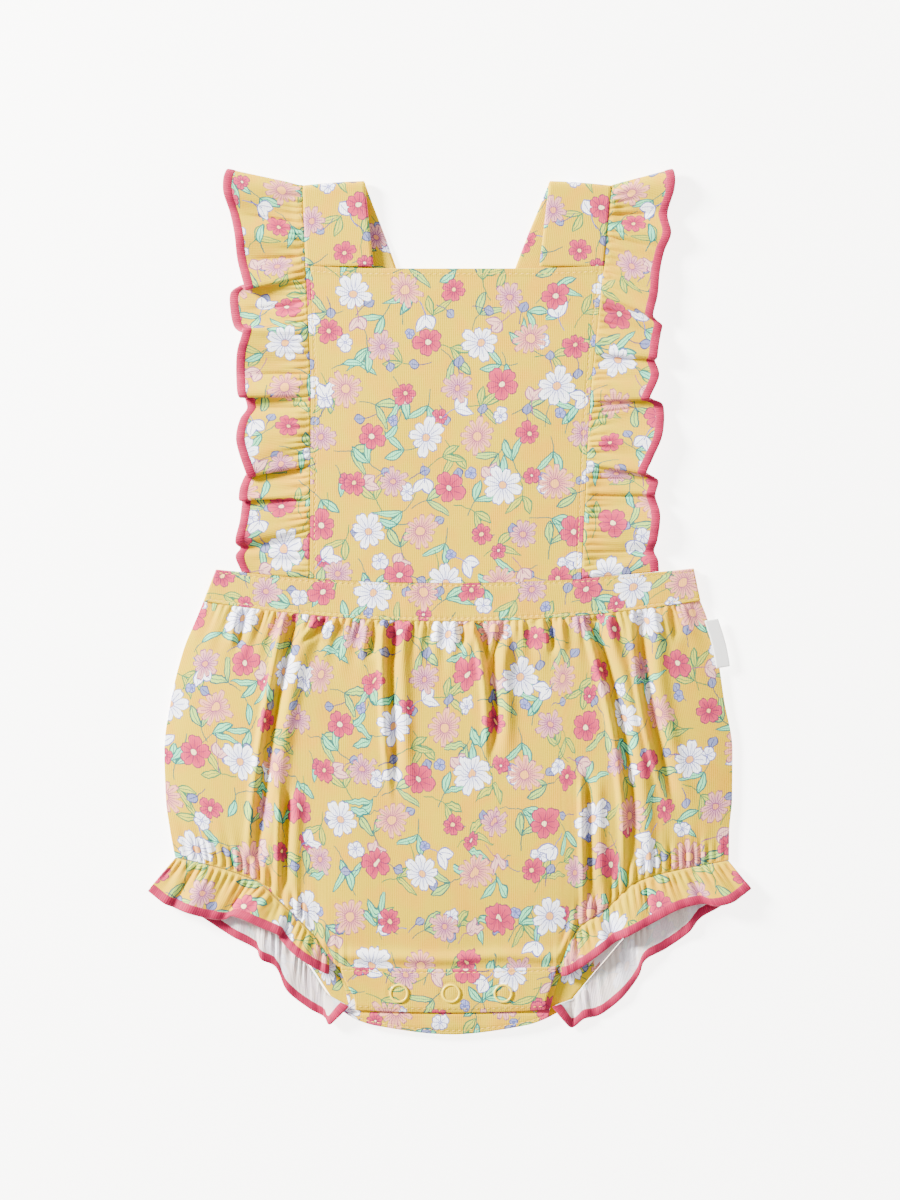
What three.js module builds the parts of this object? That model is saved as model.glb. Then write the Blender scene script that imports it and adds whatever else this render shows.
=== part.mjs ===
import * as THREE from "three";
import { mergeVertices } from "three/addons/utils/BufferGeometryUtils.js";

// A baby's ruffled bubble romper, lying on its back with its front up.
// Millimetres. +Z is up from the table, +Y towards the shoulders, and "left" is the side at -X.
// Every piece is a thin wall of cloth, and pieces that are sewn together stand seamGap apart.

// Cloth
const knit = 1.2;
const bibCloth = 1.3;
const doubled = 1.6;
const waistCloth = 2.0;
const edgingCloth = 1.4;
const labelCloth = 1.0;
const seamGap = 0.3;
const legSeamGap = 0.6;

// Heights of the middle of each layer above the table
const backLayer = knit / 2;
const strapBackLayer = doubled / 2;
const strapOverLayer = 2.7;
const strapFrontLayer = 4.8;
const bibLayer = 4.55;
const shoulderSeamLayer = 4.7;
const sideSeamLayer = 2.1;
const waistLayer = { middle: 4.0, side: 3.2 };
const legSeamLayer = 3.4;
const crotchSeamLayer = 4.2;
const backPlacketLayer = 2.2;
const frontPlacketLayer = 4.2;

// Sizes that drive the outline
const waistHalfWidth = 125;
const waistTop = { middle: 8.5, rise: 7.3, left: -116.8, right: 121.6 };
const waistFoot = { middle: -10.5, rise: 10.5 };
const shoulderY = 209;
const ruffleShoulderY = 207.5;
const bibTopY = 167;
const strapWidthAtBack = 32;
const strapLean = { left: 0.352, right: 0.38 };
const strapCrossing = { from: 135, to: 96 };
const edgingWidth = 4.5;
const bibDip = 1.6;
const bibSag = 0.35;
const crotch = { inner: 45, outer: 75 };
const frontPlacket = { topLeft: -54.2, topRight: 52.7, footLeft: -47, footRight: 47.4, footY: -206 };
const backPlacket = { topHalf: 56, footHalf: 49, topY: -187, past: 0.4, thickness: 1.4 };
const snap = { outer: 4.75, inner: 2.8, height: 1.0, bevel: 0.3, middleX: 0.5, y: -196.5, pitch: 26 };
const label = { topY: -10.5, footY: -34, width: 6.8, inset: 1.5, innerZ: 4.2, outerZ: 3 };
const frontColumns = 100;

// Where the cloth's middle lies when the whole romper is centred over the origin
const centring = { x: 0.23, y: 0.75 };

// How far the side seams of the bloomers stand out at each height
const bloomerSides = [
  { y: 2, left: -122, right: 124 },
  { y: -10, left: -127, right: 128.8 },
  { y: -25, left: -133.2, right: 133.2 },
  { y: -50, left: -139.4, right: 137 },
  { y: -75, left: -142.8, right: 141.2 },
  { y: -100, left: -142, right: 141 },
  { y: -115, left: -140, right: 139.6 },
  { y: -130, left: -137.2, right: 139.4 },
];

// The seam between the ruffles and the straps and bib
const bibSides = [
  { y: 209, left: -73.5, right: 80.5 },
  { y: 167, left: -72, right: 76.7 },
  { y: 100, left: -69.5, right: 70 },
  { y: 9, left: -70, right: 65.5 },
];

// Inner edges of the straps, from the shoulder down to the neckline
const strapInnerEdges = [
  { y: 209, left: -43, right: 50 },
  { y: 167, left: -38.6, right: 45 },
];

// Leg line of the front, with the crotch between its two halves
const frontHem = [
  { x: -137.5, y: -128.5 },
  { x: -116, y: -133.5 },
  { x: -103.5, y: -137.5 },
  { x: -94, y: -142 },
  { x: -85.5, y: -150 },
  { x: -68, y: -167.5 },
  { x: -54.5, y: -183.5 },
  { x: 0, y: -184.7 },
  { x: 53, y: -183.5 },
  { x: 62.5, y: -165.5 },
  { x: 77.7, y: -154.5 },
  { x: 94, y: -140.5 },
  { x: 113, y: -135 },
  { x: 139.4, y: -130 },
];

// Leg line of the back, which runs on round the end of the crotch
const backHem = [
  { x: -138, y: -131 },
  { x: -128, y: -137 },
  { x: -113, y: -144 },
  { x: -98, y: -155 },
  { x: -85, y: -167 },
  { x: -72, y: -181 },
  { x: -52, y: -207.5 },
  { x: -36, y: -213.3 },
  { x: 0, y: -217.5 },
  { x: 36, y: -213.3 },
  { x: 52, y: -207.5 },
  { x: 75, y: -183 },
  { x: 87, y: -169 },
  { x: 100, y: -156 },
  { x: 114, y: -145 },
  { x: 128, y: -138 },
  { x: 139.6, y: -133 },
];

// How the front of the bloomers rises from waist seam (0) to hem (1)
const puff = [
  { down: 0, z: 4.0 },
  { down: 0.05, z: 5.0 },
  { down: 0.14, z: 5.6 },
  { down: 0.35, z: 5.7 },
  { down: 0.62, z: 5.5 },
  { down: 0.84, z: 4.8 },
  { down: 0.94, z: 3.8 },
  { down: 1, z: 3.4 },
];
const frontRows = [0, 0.035, 0.08, 0.15, 0.25, 0.37, 0.5, 0.63, 0.75, 0.84, 0.91, 0.96, 1];

// Troughs of the front, each a bent line from one end through a middle to the other end
const troughs = [
  { fromX: -79.5, fromY: -10, midX: -91, toX: -97.5, toY: -126, depth: 3.5, width: 4 },
  { fromX: -104.5, fromY: -6, midX: -105.5, toX: -106, toY: -22, depth: 2.2, width: 3.2 },
  { fromX: -64, fromY: -10, midX: -68, toX: -72, toY: -20, depth: 1.8, width: 3 },
  { fromX: -39.5, fromY: -10, midX: -40, toX: -41, toY: -27, depth: 2, width: 3 },
  { fromX: -30.5, fromY: -10, midX: -30.5, toX: -28, toY: -88, depth: 3, width: 3.6 },
  { fromX: 4.5, fromY: -10, midX: 5.5, toX: 6, toY: -22, depth: 1.8, width: 3 },
  { fromX: 14, fromY: -10, midX: 20, toX: 21, toY: -72, depth: 3.2, width: 3.6 },
  { fromX: 26, fromY: -10, midX: 23, toX: 20.5, toY: -36, depth: 2.2, width: 3 },
  { fromX: 49.5, fromY: -9, midX: 50.5, toX: 51, toY: -25, depth: 1.8, width: 3 },
  { fromX: 69, fromY: -8, midX: 85, toX: 90, toY: -130, depth: 3.6, width: 4 },
  { fromX: 94, fromY: -5, midX: 98, toX: 109.5, toY: -95, depth: 3.2, width: 4 },
  { fromX: 109.5, fromY: -3, midX: 111, toX: 112.5, toY: -19, depth: 1.8, width: 3 },
  { fromX: -82.5, fromY: -102, midX: -83.5, toX: -83.5, toY: -146, depth: 2.6, width: 3 },
  { fromX: 68, fromY: -96, midX: 68.5, toX: 69, toY: -152, depth: 2.4, width: 3 },
];
const lipHeight = 0.5;
const waistGathers = { pitch: 8.2, height: 0.7, length: 15 };
const legGathers = { pitch: 7.6, height: 0.7, length: 15 };

// Turning points of the free edge of the shoulder ruffles. seam is how far round from the shoulder
// the fold starts on the strap and bib: below zero it is behind, where the ruffle lies flat.
const leftRuffleTurns = [
  { seam: -70, x: -61, y: 136, z: 1 },
  { seam: -60, x: -77, y: 148, z: 1.7 },
  { seam: -49, x: -89, y: 161, z: 1 },
  { seam: -38, x: -98, y: 175, z: 1.8 },
  { seam: -26, x: -105, y: 189, z: 1 },
  { seam: -13, x: -109, y: 202, z: 1.6 },
  { seam: -4, x: -111.5, y: 211.5, z: 1.6 },
  { seam: 0, x: -111.6, y: 215.2, z: 4 },
  { seam: 3.5, x: -113, y: 211.5, z: 6.9 },
  { seam: 9, x: -113.2, y: 204, z: 8.2 },
  { seam: 19, x: -110, y: 193.5, z: 4.8 },
  { seam: 28, x: -107.6, y: 182.5, z: 7.5 },
  { seam: 36, x: -106.3, y: 170, z: 5.6 },
  { seam: 45, x: -102.6, y: 155, z: 8 },
  { seam: 49.2, x: -105, y: 157, z: 3.8 },
  { seam: 54, x: -109.8, y: 154, z: 2 },
  { seam: 60, x: -110, y: 145, z: 1.8 },
  { seam: 65, x: -108, y: 136.6, z: 2.2 },
  { seam: 68, x: -105, y: 134.2, z: 4.8 },
  { seam: 72.5, x: -103.4, y: 135, z: 8.2 },
  { seam: 77, x: -104.2, y: 131.6, z: 8 },
  { seam: 84, x: -106.4, y: 124, z: 6.6 },
  { seam: 94, x: -107, y: 112.5, z: 3.6 },
  { seam: 105, x: -105.6, y: 101.6, z: 7.2 },
  { seam: 107.5, x: -103.6, y: 102.2, z: 3 },
  { seam: 112, x: -101.6, y: 96.4, z: 2.8 },
  { seam: 117, x: -105, y: 90.4, z: 5 },
  { seam: 125, x: -106.8, y: 80, z: 7.4 },
  { seam: 139, x: -101.4, y: 61.6, z: 6.8 },
  { seam: 141.5, x: -102.4, y: 62.6, z: 2.8 },
  { seam: 149, x: -105.2, y: 55.6, z: 4.6 },
  { seam: 155, x: -105.4, y: 50, z: 6.8 },
  { seam: 157.5, x: -104.2, y: 50.4, z: 2.8 },
  { seam: 164, x: -105, y: 40, z: 6 },
  { seam: 171, x: -107.2, y: 28.7, z: 6.6 },
  { seam: 178, x: -105, y: 26, z: 2.8 },
  { seam: 187, x: -107.2, y: 22, z: 5 },
  { seam: 196.6, x: -104.4, y: 14.6, z: 4 },
];
const rightRuffleTurns = [
  { seam: -70, x: 65, y: 136, z: 1 },
  { seam: -60, x: 80, y: 148, z: 1.7 },
  { seam: -49, x: 92, y: 161, z: 1 },
  { seam: -38, x: 99, y: 175, z: 1.8 },
  { seam: -26, x: 105, y: 189, z: 1 },
  { seam: -13, x: 109, y: 202, z: 1.6 },
  { seam: -4, x: 111, y: 211.5, z: 1.6 },
  { seam: 0, x: 111.6, y: 215.2, z: 4 },
  { seam: 3.5, x: 112.4, y: 211.5, z: 7 },
  { seam: 8, x: 112, y: 205, z: 8 },
  { seam: 15, x: 108.8, y: 193, z: 4.6 },
  { seam: 21, x: 110.4, y: 183, z: 7.6 },
  { seam: 26, x: 107.2, y: 174.4, z: 4.8 },
  { seam: 36, x: 104.8, y: 163.6, z: 7 },
  { seam: 45, x: 103.8, y: 152.6, z: 6.6 },
  { seam: 52, x: 101.4, y: 142, z: 7.6 },
  { seam: 56, x: 102.8, y: 140.4, z: 3.8 },
  { seam: 61, x: 106.2, y: 137.6, z: 3 },
  { seam: 66, x: 105.6, y: 133.6, z: 3.4 },
  { seam: 73, x: 104.4, y: 128, z: 7.2 },
  { seam: 83, x: 103.4, y: 121, z: 7.4 },
  { seam: 86, x: 102.6, y: 120, z: 3 },
  { seam: 94, x: 104.6, y: 112.6, z: 5.8 },
  { seam: 106.8, x: 99.8, y: 100.8, z: 7.8 },
  { seam: 110, x: 101.3, y: 100.5, z: 3.4 },
  { seam: 115, x: 106.2, y: 98.4, z: 2.9 },
  { seam: 119, x: 107.2, y: 94, z: 3.2 },
  { seam: 127, x: 106, y: 82, z: 7 },
  { seam: 134, x: 101.4, y: 71, z: 7.4 },
  { seam: 138, x: 98, y: 63.2, z: 8 },
  { seam: 141.5, x: 99.8, y: 62.6, z: 3.8 },
  { seam: 146.5, x: 104.2, y: 60, z: 2.8 },
  { seam: 152, x: 102.8, y: 53.6, z: 6 },
  { seam: 155.5, x: 102.8, y: 51.6, z: 3.4 },
  { seam: 164, x: 105, y: 43, z: 6 },
  { seam: 175, x: 103.6, y: 30, z: 6.8 },
  { seam: 184, x: 102.2, y: 24.4, z: 2.8 },
  { seam: 191, x: 104, y: 20, z: 5 },
  { seam: 196.6, x: 104.6, y: 15.8, z: 4 },
];

// Turning points of the leg ruffles' free edges. seam is the place along X on the leg line.
const frontLegTurns = {
  left: [
    { seam: -137.3, x: -151, y: -145.4, z: 5 },
    { seam: -130.5, x: -142.6, y: -151.6, z: 7 },
    { seam: -127, x: -138.6, y: -153.4, z: 5.2 },
    { seam: -122, x: -133, y: -155.5, z: 8.2 },
    { seam: -112, x: -122.5, y: -158.6, z: 7 },
    { seam: -100, x: -113, y: -159.8, z: 5.2 },
    { seam: -95, x: -109.6, y: -157.8, z: 7.4 },
    { seam: -91, x: -104.5, y: -158.8, z: 8.6 },
    { seam: -86, x: -94, y: -163.6, z: 7.8 },
    { seam: -81, x: -86, y: -167, z: 8.4 },
    { seam: -78.5, x: -85, y: -169.4, z: 5.2 },
    { seam: -73, x: -78, y: -176.6, z: 8 },
    { seam: -65, x: -67, y: -184, z: 7.4 },
    { seam: -60, x: -60.8, y: -187, z: 5.6 },
  ],
  right: [
    { seam: 139.2, x: 150.5, y: -144.4, z: 5 },
    { seam: 129, x: 141, y: -150.8, z: 8.2 },
    { seam: 122, x: 132.4, y: -152.8, z: 7.4 },
    { seam: 119, x: 127, y: -151.8, z: 5.2 },
    { seam: 108, x: 114.5, y: -154.4, z: 8.2 },
    { seam: 97, x: 100, y: -162, z: 6.4 },
    { seam: 85, x: 89.5, y: -167.4, z: 8.2 },
    { seam: 77.5, x: 83, y: -170.8, z: 5.6 },
    { seam: 70, x: 74.5, y: -177, z: 8.2 },
    { seam: 62.5, x: 65.5, y: -183.6, z: 5.6 },
    { seam: 57.5, x: 59.4, y: -187, z: 6.6 },
    { seam: 54.6, x: 56, y: -188, z: 5.4 },
  ],
};
const backLegTurns = {
  left: [
    { seam: -137.6, x: -144, y: -139.5, z: 1.0 },
    { seam: -130, x: -140, y: -149, z: 1.6 },
    { seam: -119, x: -124, y: -159, z: 1.0 },
    { seam: -109, x: -110, y: -168, z: 2.4 },
    { seam: -98, x: -96.5, y: -175.6, z: 1.4 },
    { seam: -93, x: -94.6, y: -179.8, z: 2.8 },
    { seam: -88, x: -87.6, y: -183.6, z: 1 },
    { seam: -79, x: -81.6, y: -195.6, z: 2.4 },
    { seam: -70, x: -70.6, y: -204.6, z: 1 },
    { seam: -61, x: -62.4, y: -209.4, z: 1.6 },
    { seam: -55, x: -59.6, y: -212.6, z: 3.4 },
  ],
  right: [
    { seam: 139.2, x: 143, y: -141, z: 1.0 },
    { seam: 130, x: 137, y: -152, z: 1.6 },
    { seam: 121, x: 125.4, y: -159.4, z: 1.0 },
    { seam: 113, x: 119.4, y: -166.6, z: 2.4 },
    { seam: 104, x: 108.4, y: -174.6, z: 1 },
    { seam: 96, x: 97.6, y: -180.4, z: 2.8 },
    { seam: 91, x: 94.2, y: -189, z: 1 },
    { seam: 80, x: 85, y: -200.4, z: 2.2 },
    { seam: 71, x: 74, y: -208.4, z: 1 },
    { seam: 65, x: 67.4, y: -209.6, z: 2.6 },
    { seam: 57, x: 60.4, y: -214.4, z: 1.2 },
    { seam: 53, x: 54.4, y: -213.4, z: 3 },
  ],
};

// Colours
const yellowPrint = new THREE.MeshStandardMaterial({ color: "#e9cf8a", roughness: 0.9 });
const pinkThread = new THREE.MeshStandardMaterial({ color: "#e5808f", roughness: 0.85 });
const snapEnamel = new THREE.MeshStandardMaterial({ color: "#eadb96", roughness: 0.35, metalness: 0.1 });
const whiteSatin = new THREE.MeshStandardMaterial({ color: "#f3f0ea", roughness: 0.6 });

const clamp = THREE.MathUtils.clamp;
const lerp = THREE.MathUtils.lerp;
const smoothstep = THREE.MathUtils.smoothstep;

// Reads one column of a table against another, smoothly and without overshoot.
function readTable(rows, from, to) {
  const sorted = [...rows].sort((one, other) => one[from] - other[from]);
  const places = sorted.map((row) => row[from]);
  const values = sorted.map((row) => row[to]);
  const last = sorted.length - 1;
  const slope = (i) => (values[i + 1] - values[i]) / (places[i + 1] - places[i]);
  const tangent = (i) => {
    if (i === 0) return slope(0);
    if (i === last) return slope(last - 1);
    const before = slope(i - 1);
    const after = slope(i);
    return before * after <= 0 ? 0 : (2 * before * after) / (before + after);
  };
  return (place) => {
    const at = clamp(place, places[0], places[last]);
    let i = 0;
    while (i < last - 1 && at > places[i + 1]) i += 1;
    const width = places[i + 1] - places[i];
    const t = (at - places[i]) / width;
    const bulge = t * (1 - t) * width;
    const blend = t * t * (3 - 2 * t);
    return lerp(values[i], values[i + 1], blend) + bulge * ((1 - t) * tangent(i) - t * tangent(i + 1));
  };
}

const bloomerLeft = readTable(bloomerSides, "y", "left");
const bloomerRight = readTable(bloomerSides, "y", "right");
const bibLeft = readTable(bibSides, "y", "left");
const bibRight = readTable(bibSides, "y", "right");
const strapInnerLeft = readTable(strapInnerEdges, "y", "left");
const strapInnerRight = readTable(strapInnerEdges, "y", "right");
const frontHemY = readTable(frontHem, "x", "y");
const backHemY = readTable(backHem, "x", "y");
const puffZ = readTable(puff, "down", "z");
const waistTopY = (x) => waistTop.middle + waistTop.rise * (x / waistHalfWidth) ** 2;
const waistFootY = (x) => waistFoot.middle + waistFoot.rise * (x / waistHalfWidth) ** 2;

// A closed wall of the given thickness around a sheet of points: across and down run from 0 to 1.
function wall(sheet, thickness, acrossSteps, downSteps) {
  const rows = downSteps.length;
  const columns = acrossSteps.length;
  const middle = acrossSteps.map((across) => downSteps.map((down) => sheet(across, down)));
  const along = new THREE.Vector3();
  const over = new THREE.Vector3();
  const corners = [[], []];
  for (let i = 0; i < columns; i += 1) {
    for (let j = 0; j < rows; j += 1) {
      along.subVectors(middle[Math.min(i + 1, columns - 1)][j], middle[Math.max(i - 1, 0)][j]);
      over.subVectors(middle[i][Math.min(j + 1, rows - 1)], middle[i][Math.max(j - 1, 0)]);
      const offset = along.clone().cross(over).normalize().multiplyScalar(thickness / 2);
      corners[0].push(middle[i][j].clone().add(offset));
      corners[1].push(middle[i][j].clone().sub(offset));
    }
  }
  const half = columns * rows;
  const index = [];
  const quad = (a, b, c, d) => index.push(a, b, c, a, c, d);
  for (let i = 0; i < columns - 1; i += 1) {
    for (let j = 0; j < rows - 1; j += 1) {
      const a = i * rows + j;
      quad(a, a + rows, a + rows + 1, a + 1);
      quad(half + a, half + a + 1, half + a + rows + 1, half + a + rows);
    }
  }
  for (let i = 0; i < columns - 1; i += 1) {
    const near = i * rows;
    const far = near + rows - 1;
    quad(near, half + near, half + near + rows, near + rows);
    quad(far, far + rows, half + far + rows, half + far);
  }
  for (let j = 0; j < rows - 1; j += 1) {
    const first = j;
    const final = (columns - 1) * rows + j;
    quad(first, first + 1, half + first + 1, half + first);
    quad(final, half + final, half + final + 1, final + 1);
  }
  const geometry = new THREE.BufferGeometry();
  geometry.setFromPoints([...corners[0], ...corners[1]]);
  geometry.setIndex(index);
  return geometry;
}

const evenSteps = (count) => Array.from({ length: count + 1 }, (_, i) => i / count);

const romper = new THREE.Group();

function addPiece(name, geometry, material) {
  geometry.computeVertexNormals();
  const mesh = new THREE.Mesh(geometry, material);
  mesh.name = name;
  romper.add(mesh);
  return mesh;
}

// One at the crotch, falling to nothing along the leg line.
const nearCrotch = (x) => 1 - smoothstep(Math.abs(x), crotch.inner, crotch.outer);

// Bloomers: a flat back panel, and a front panel that is gathered into the waist and leg seams.
function bloomerBack() {
  const outline = new THREE.Shape();
  const points = [];
  for (const t of evenSteps(20)) {
    const x = lerp(bloomerLeft(0), bloomerRight(0), t);
    points.push([x, waistFootY(x) - seamGap]);
  }
  const sideTop = waistFootY(waistHalfWidth) - seamGap;
  for (const t of evenSteps(14).slice(1)) {
    const y = lerp(sideTop, backHem.at(-1).y, t);
    points.push([bloomerRight(y), y]);
  }
  for (const t of evenSteps(60).slice(1)) {
    const x = lerp(backHem.at(-1).x, backHem[0].x, t);
    points.push([x, backHemY(x)]);
  }
  for (const t of evenSteps(14).slice(1, -1)) {
    const y = lerp(backHem[0].y, sideTop, t);
    points.push([bloomerLeft(y), y]);
  }
  points.forEach(([x, y], i) => (i === 0 ? outline.moveTo(x, y) : outline.lineTo(x, y)));
  const geometry = new THREE.ExtrudeGeometry(outline, { depth: knit, bevelEnabled: false });
  geometry.deleteAttribute("normal");
  geometry.deleteAttribute("uv");
  return mergeVertices(geometry, 1e-4);
}

function troughDepth(x, y) {
  let depth = 0;
  for (const row of troughs) {
    const t = (y - row.fromY) / (row.toY - row.fromY);
    if (t < -0.2 || t > 1.2) continue;
    const bow = 4 * (row.midX - (row.fromX + row.toX) / 2);
    const line = lerp(row.fromX, row.toX, t) + bow * t * (1 - t);
    const reach = (x - line) / row.width;
    const fade = smoothstep(t, -0.2, 0.05) * (1 - smoothstep(t, 0.7, 1.2));
    const lips = lipHeight * Math.exp(-((Math.abs(reach) - 2) ** 2));
    depth += row.depth * fade * (Math.exp(-reach * reach) - lips);
  }
  return depth;
}

function frontPanelPoint(across, down) {
  const footX = lerp(frontHem[0].x, frontHem.at(-1).x, across);
  const headX = lerp(bloomerLeft(0), bloomerRight(0), across);
  const headY = waistFootY(headX) - seamGap;
  const footY = frontHemY(footX);
  const y = lerp(headY, footY, down);
  const x = lerp(bloomerLeft(y), bloomerRight(y), across);
  const fromMiddle = Math.abs(2 * across - 1);
  const atSides = 1 - fromMiddle ** 8;
  const atCrotch = nearCrotch(footX);
  const waistWave = Math.sin((2 * Math.PI * headX) / waistGathers.pitch + Math.sin(headX / 13));
  const legWave = Math.cos((2 * Math.PI * footX) / legGathers.pitch + Math.sin(footX / 17));
  const belowWaist = headY - y;
  const aboveHem = y - footY;
  const hump = smoothstep(belowWaist, 0, 4);
  let z = puffZ(down) + atCrotch * (crotchSeamLayer - legSeamLayer) * down;
  z += waistGathers.height * waistWave * hump * Math.exp(-((belowWaist / waistGathers.length) ** 2));
  z += legGathers.height * legWave * (1 - atCrotch) * smoothstep(aboveHem, 0, 4)
    * Math.exp(-((aboveHem / legGathers.length) ** 2));
  z -= troughDepth(x, y) * hump * smoothstep(aboveHem, 0, 14);
  return new THREE.Vector3(x, y, Math.max(lerp(sideSeamLayer, z, atSides), sideSeamLayer));
}

// Waistband: the same band front and back, the front one bowed up over what lies under it.
function waistbandPoint(layer) {
  return (across, down) => {
    const left = lerp(waistTop.left, bloomerLeft(0), down);
    const right = lerp(waistTop.right, bloomerRight(0), down);
    const x = lerp(left, right, across);
    const y = lerp(waistTopY(x), waistFootY(x), down);
    return new THREE.Vector3(x, y, layer(Math.abs(2 * across - 1)));
  };
}

const bibPoint = (across, down) => {
  const dip = bibDip * (1 - (2 * across - 1) ** 4);
  const left = bibLeft(lerp(bibTopY, waistTop.middle, down));
  const right = bibRight(lerp(bibTopY, waistTop.middle, down));
  const x = lerp(left, right, across);
  const y = lerp(bibTopY - dip, waistTopY(x) + seamGap, down);
  const sag = bibSag * Math.sin(Math.PI * down) * Math.sin(2 * Math.PI * across) ** 2;
  return new THREE.Vector3(x, y, bibLayer + sag);
};

// A strap runs up from the bib, over the shoulder fold and down behind to the far side of the waist.
const foldRadius = (strapFrontLayer - strapBackLayer) / 2;
const frontStrapLength = shoulderY - bibTopY - seamGap;
// Places along a strap where it is cut: closest round the fold, and close where one strap climbs.
const strapSteps = [0, 0.05, 0.1, 0.145, 0.158, 0.17, 0.183, 0.195, 0.21, 0.235, 0.27,
  0.34, 0.4, 0.45, 0.5, 0.56, 0.62, 0.7, 0.8, 0.9, 1];

function strapPoint(side) {
  const outerX = side === "left" ? bibLeft : bibRight;
  const innerX = side === "left" ? strapInnerLeft : strapInnerRight;
  const towardsMiddle = side === "left" ? 1 : -1;
  const foldLength = Math.PI * foldRadius;
  const foldY = shoulderY - foldRadius;
  const topCentre = (outerX(shoulderY) + innerX(shoulderY)) / 2;
  const backCentre = (y) => topCentre + towardsMiddle * strapLean[side] * (shoulderY - y);
  const backLength = foldY - waistTopY(0) - seamGap;
  const length = frontStrapLength - foldRadius + foldLength + backLength;
  return (across, down) => {
    const run = down * length;
    const width = across - 0.5;
    const frontRun = frontStrapLength - foldRadius;
    if (run <= frontRun) {
      const y = bibTopY + seamGap + run;
      return new THREE.Vector3(lerp(outerX(y), innerX(y), across), y, strapFrontLayer);
    }
    const turn = clamp((run - frontRun) / foldLength, 0, 1);
    const backRun = Math.max(run - frontRun - foldLength, 0);
    const foot = waistTopY(0) + seamGap;
    const y = foldY - backRun + foldRadius * Math.sin(Math.PI * turn);
    const spread = lerp(innerX(shoulderY) - outerX(shoulderY), towardsMiddle * strapWidthAtBack,
      smoothstep(backRun, 0, 30));
    const x = backCentre(Math.min(y, shoulderY)) + spread * width;
    const over = side === "right" ? smoothstep(-y, -strapCrossing.from, -strapCrossing.to) : 0;
    const back = lerp(strapBackLayer, strapOverLayer, over);
    const z = turn < 1 ? (strapFrontLayer + back) / 2 + foldRadius * Math.cos(Math.PI * turn) : back;
    const endLift = (waistTopY(x) - waistTopY(0)) * clamp(1 - (y - foot) / 20, 0, 1);
    return new THREE.Vector3(x, y + endLift, z);
  };
}

// Ruffles: straight lines from a seam out to an edge that turns up, down and under itself.
// out runs from 0 to 1 over the ruffle, and from 2 to 3 over its edging.
function ruffleSheet(seamAt, turns) {
  const points = turns.map((turn) => new THREE.Vector3(turn.x, turn.y, turn.z));
  const edge = new THREE.CatmullRomCurve3(points, false, "centripetal");
  const last = turns.length - 1;
  return (along, out) => {
    const place = Math.min(along * last, last - 1e-9);
    const row = Math.floor(place);
    const from = seamAt(lerp(turns[row].seam, turns[row + 1].seam, place - row));
    const to = edge.getPoint(along);
    const span = from.distanceTo(to);
    const inner = 1 - edgingWidth / span;
    const reach = out <= 1 ? out * (inner - seamGap / span) : lerp(inner, 1, out - 2);
    const point = from.clone().lerp(to, reach);
    point.z = lerp(from.z, to.z, reach ** 0.7);
    return point;
  };
}

const turnSteps = (turns, perTurn) => evenSteps((turns.length - 1) * perTurn);

function addRuffle(name, sheet, turns, perTurn, outSteps, material) {
  const steps = turnSteps(turns, perTurn);
  addPiece(name, wall(sheet, knit, steps, outSteps), material);
  const edgingSheet = (along, out) => sheet(along, 2 + out);
  addPiece(`${name}_edging`, wall(edgingSheet, edgingCloth, steps, [0, 1]), pinkThread);
}

// The seam of a shoulder ruffle, by how far round from the shoulder fold it is.
function shoulderSeam(side) {
  const sideX = side === "left" ? bibLeft : bibRight;
  const towardsMiddle = side === "left" ? 1 : -1;
  return (round) => {
    const y = ruffleShoulderY - Math.abs(round);
    const behind = Math.max(-round, 0);
    const frontX = sideX(y) - towardsMiddle * seamGap;
    const backX = sideX(shoulderY) + towardsMiddle * (strapLean[side] * (behind + 1.5) - 1.1);
    const x = round < 0 ? backX : frontX;
    const turn = clamp(round / 4, -1, 1);
    const middle = (shoulderSeamLayer + strapBackLayer) / 2;
    const reach = (shoulderSeamLayer - strapBackLayer) / 2;
    return new THREE.Vector3(x, y, middle + reach * Math.sin((Math.PI / 2) * turn));
  };
}

// The seam of a leg ruffle, just outside the panel's hem at x.
function hemSeam(hemY, x, z) {
  const slope = hemY(x + 0.5) - hemY(x - 0.5);
  const length = Math.hypot(1, slope);
  return new THREE.Vector3(x + (legSeamGap * slope) / length, hemY(x) - legSeamGap / length, z);
}

const frontLegSeam = (x) => {
  const nearSide = smoothstep(Math.abs(x), 122, 137);
  const z = lerp(legSeamLayer, crotchSeamLayer, nearCrotch(x));
  return hemSeam(frontHemY, x, lerp(z, sideSeamLayer + 0.6, nearSide));
};
const backLegSeam = (x) => hemSeam(backHemY, x, backLayer);

// Crotch: a band sewn to the front, which laps over one on the back and is held by three snaps.
const frontPlacketPoint = (across, down) => {
  const { topLeft, topRight, footLeft, footRight, footY } = frontPlacket;
  const taper = smoothstep(down, 0, 0.9);
  const x = lerp(lerp(topLeft, footLeft, taper), lerp(topRight, footRight, taper), across);
  const y = lerp(frontHemY(x) - seamGap, footY + 1.5 * (x / 50) ** 2, down);
  return new THREE.Vector3(x, y, frontPlacketLayer);
};
const backPlacketPoint = (across, down) => {
  const { topHalf, footHalf, topY, past } = backPlacket;
  const half = lerp(topHalf, footHalf, down ** 0.7);
  const x = lerp(-half, half, across);
  const y = lerp(topY, backHemY(x) + past, down);
  return new THREE.Vector3(x, y, backPlacketLayer);
};

function snapRing(name, x) {
  const { outer, inner, height, bevel, y } = snap;
  const profile = [
    new THREE.Vector2(inner, 0),
    new THREE.Vector2(outer, 0),
    new THREE.Vector2(outer, height - bevel),
    new THREE.Vector2(outer - bevel, height),
    new THREE.Vector2(inner + bevel, height),
    new THREE.Vector2(inner, height - bevel),
    new THREE.Vector2(inner, 0),
  ];
  const geometry = new THREE.LatheGeometry(profile, 18);
  geometry.deleteAttribute("normal");
  geometry.deleteAttribute("uv");
  const ring = addPiece(name, mergeVertices(geometry, 1e-4), snapEnamel);
  ring.rotation.x = Math.PI / 2;
  ring.position.set(x, y, frontPlacketLayer + waistCloth / 2 + seamGap);
}

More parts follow.
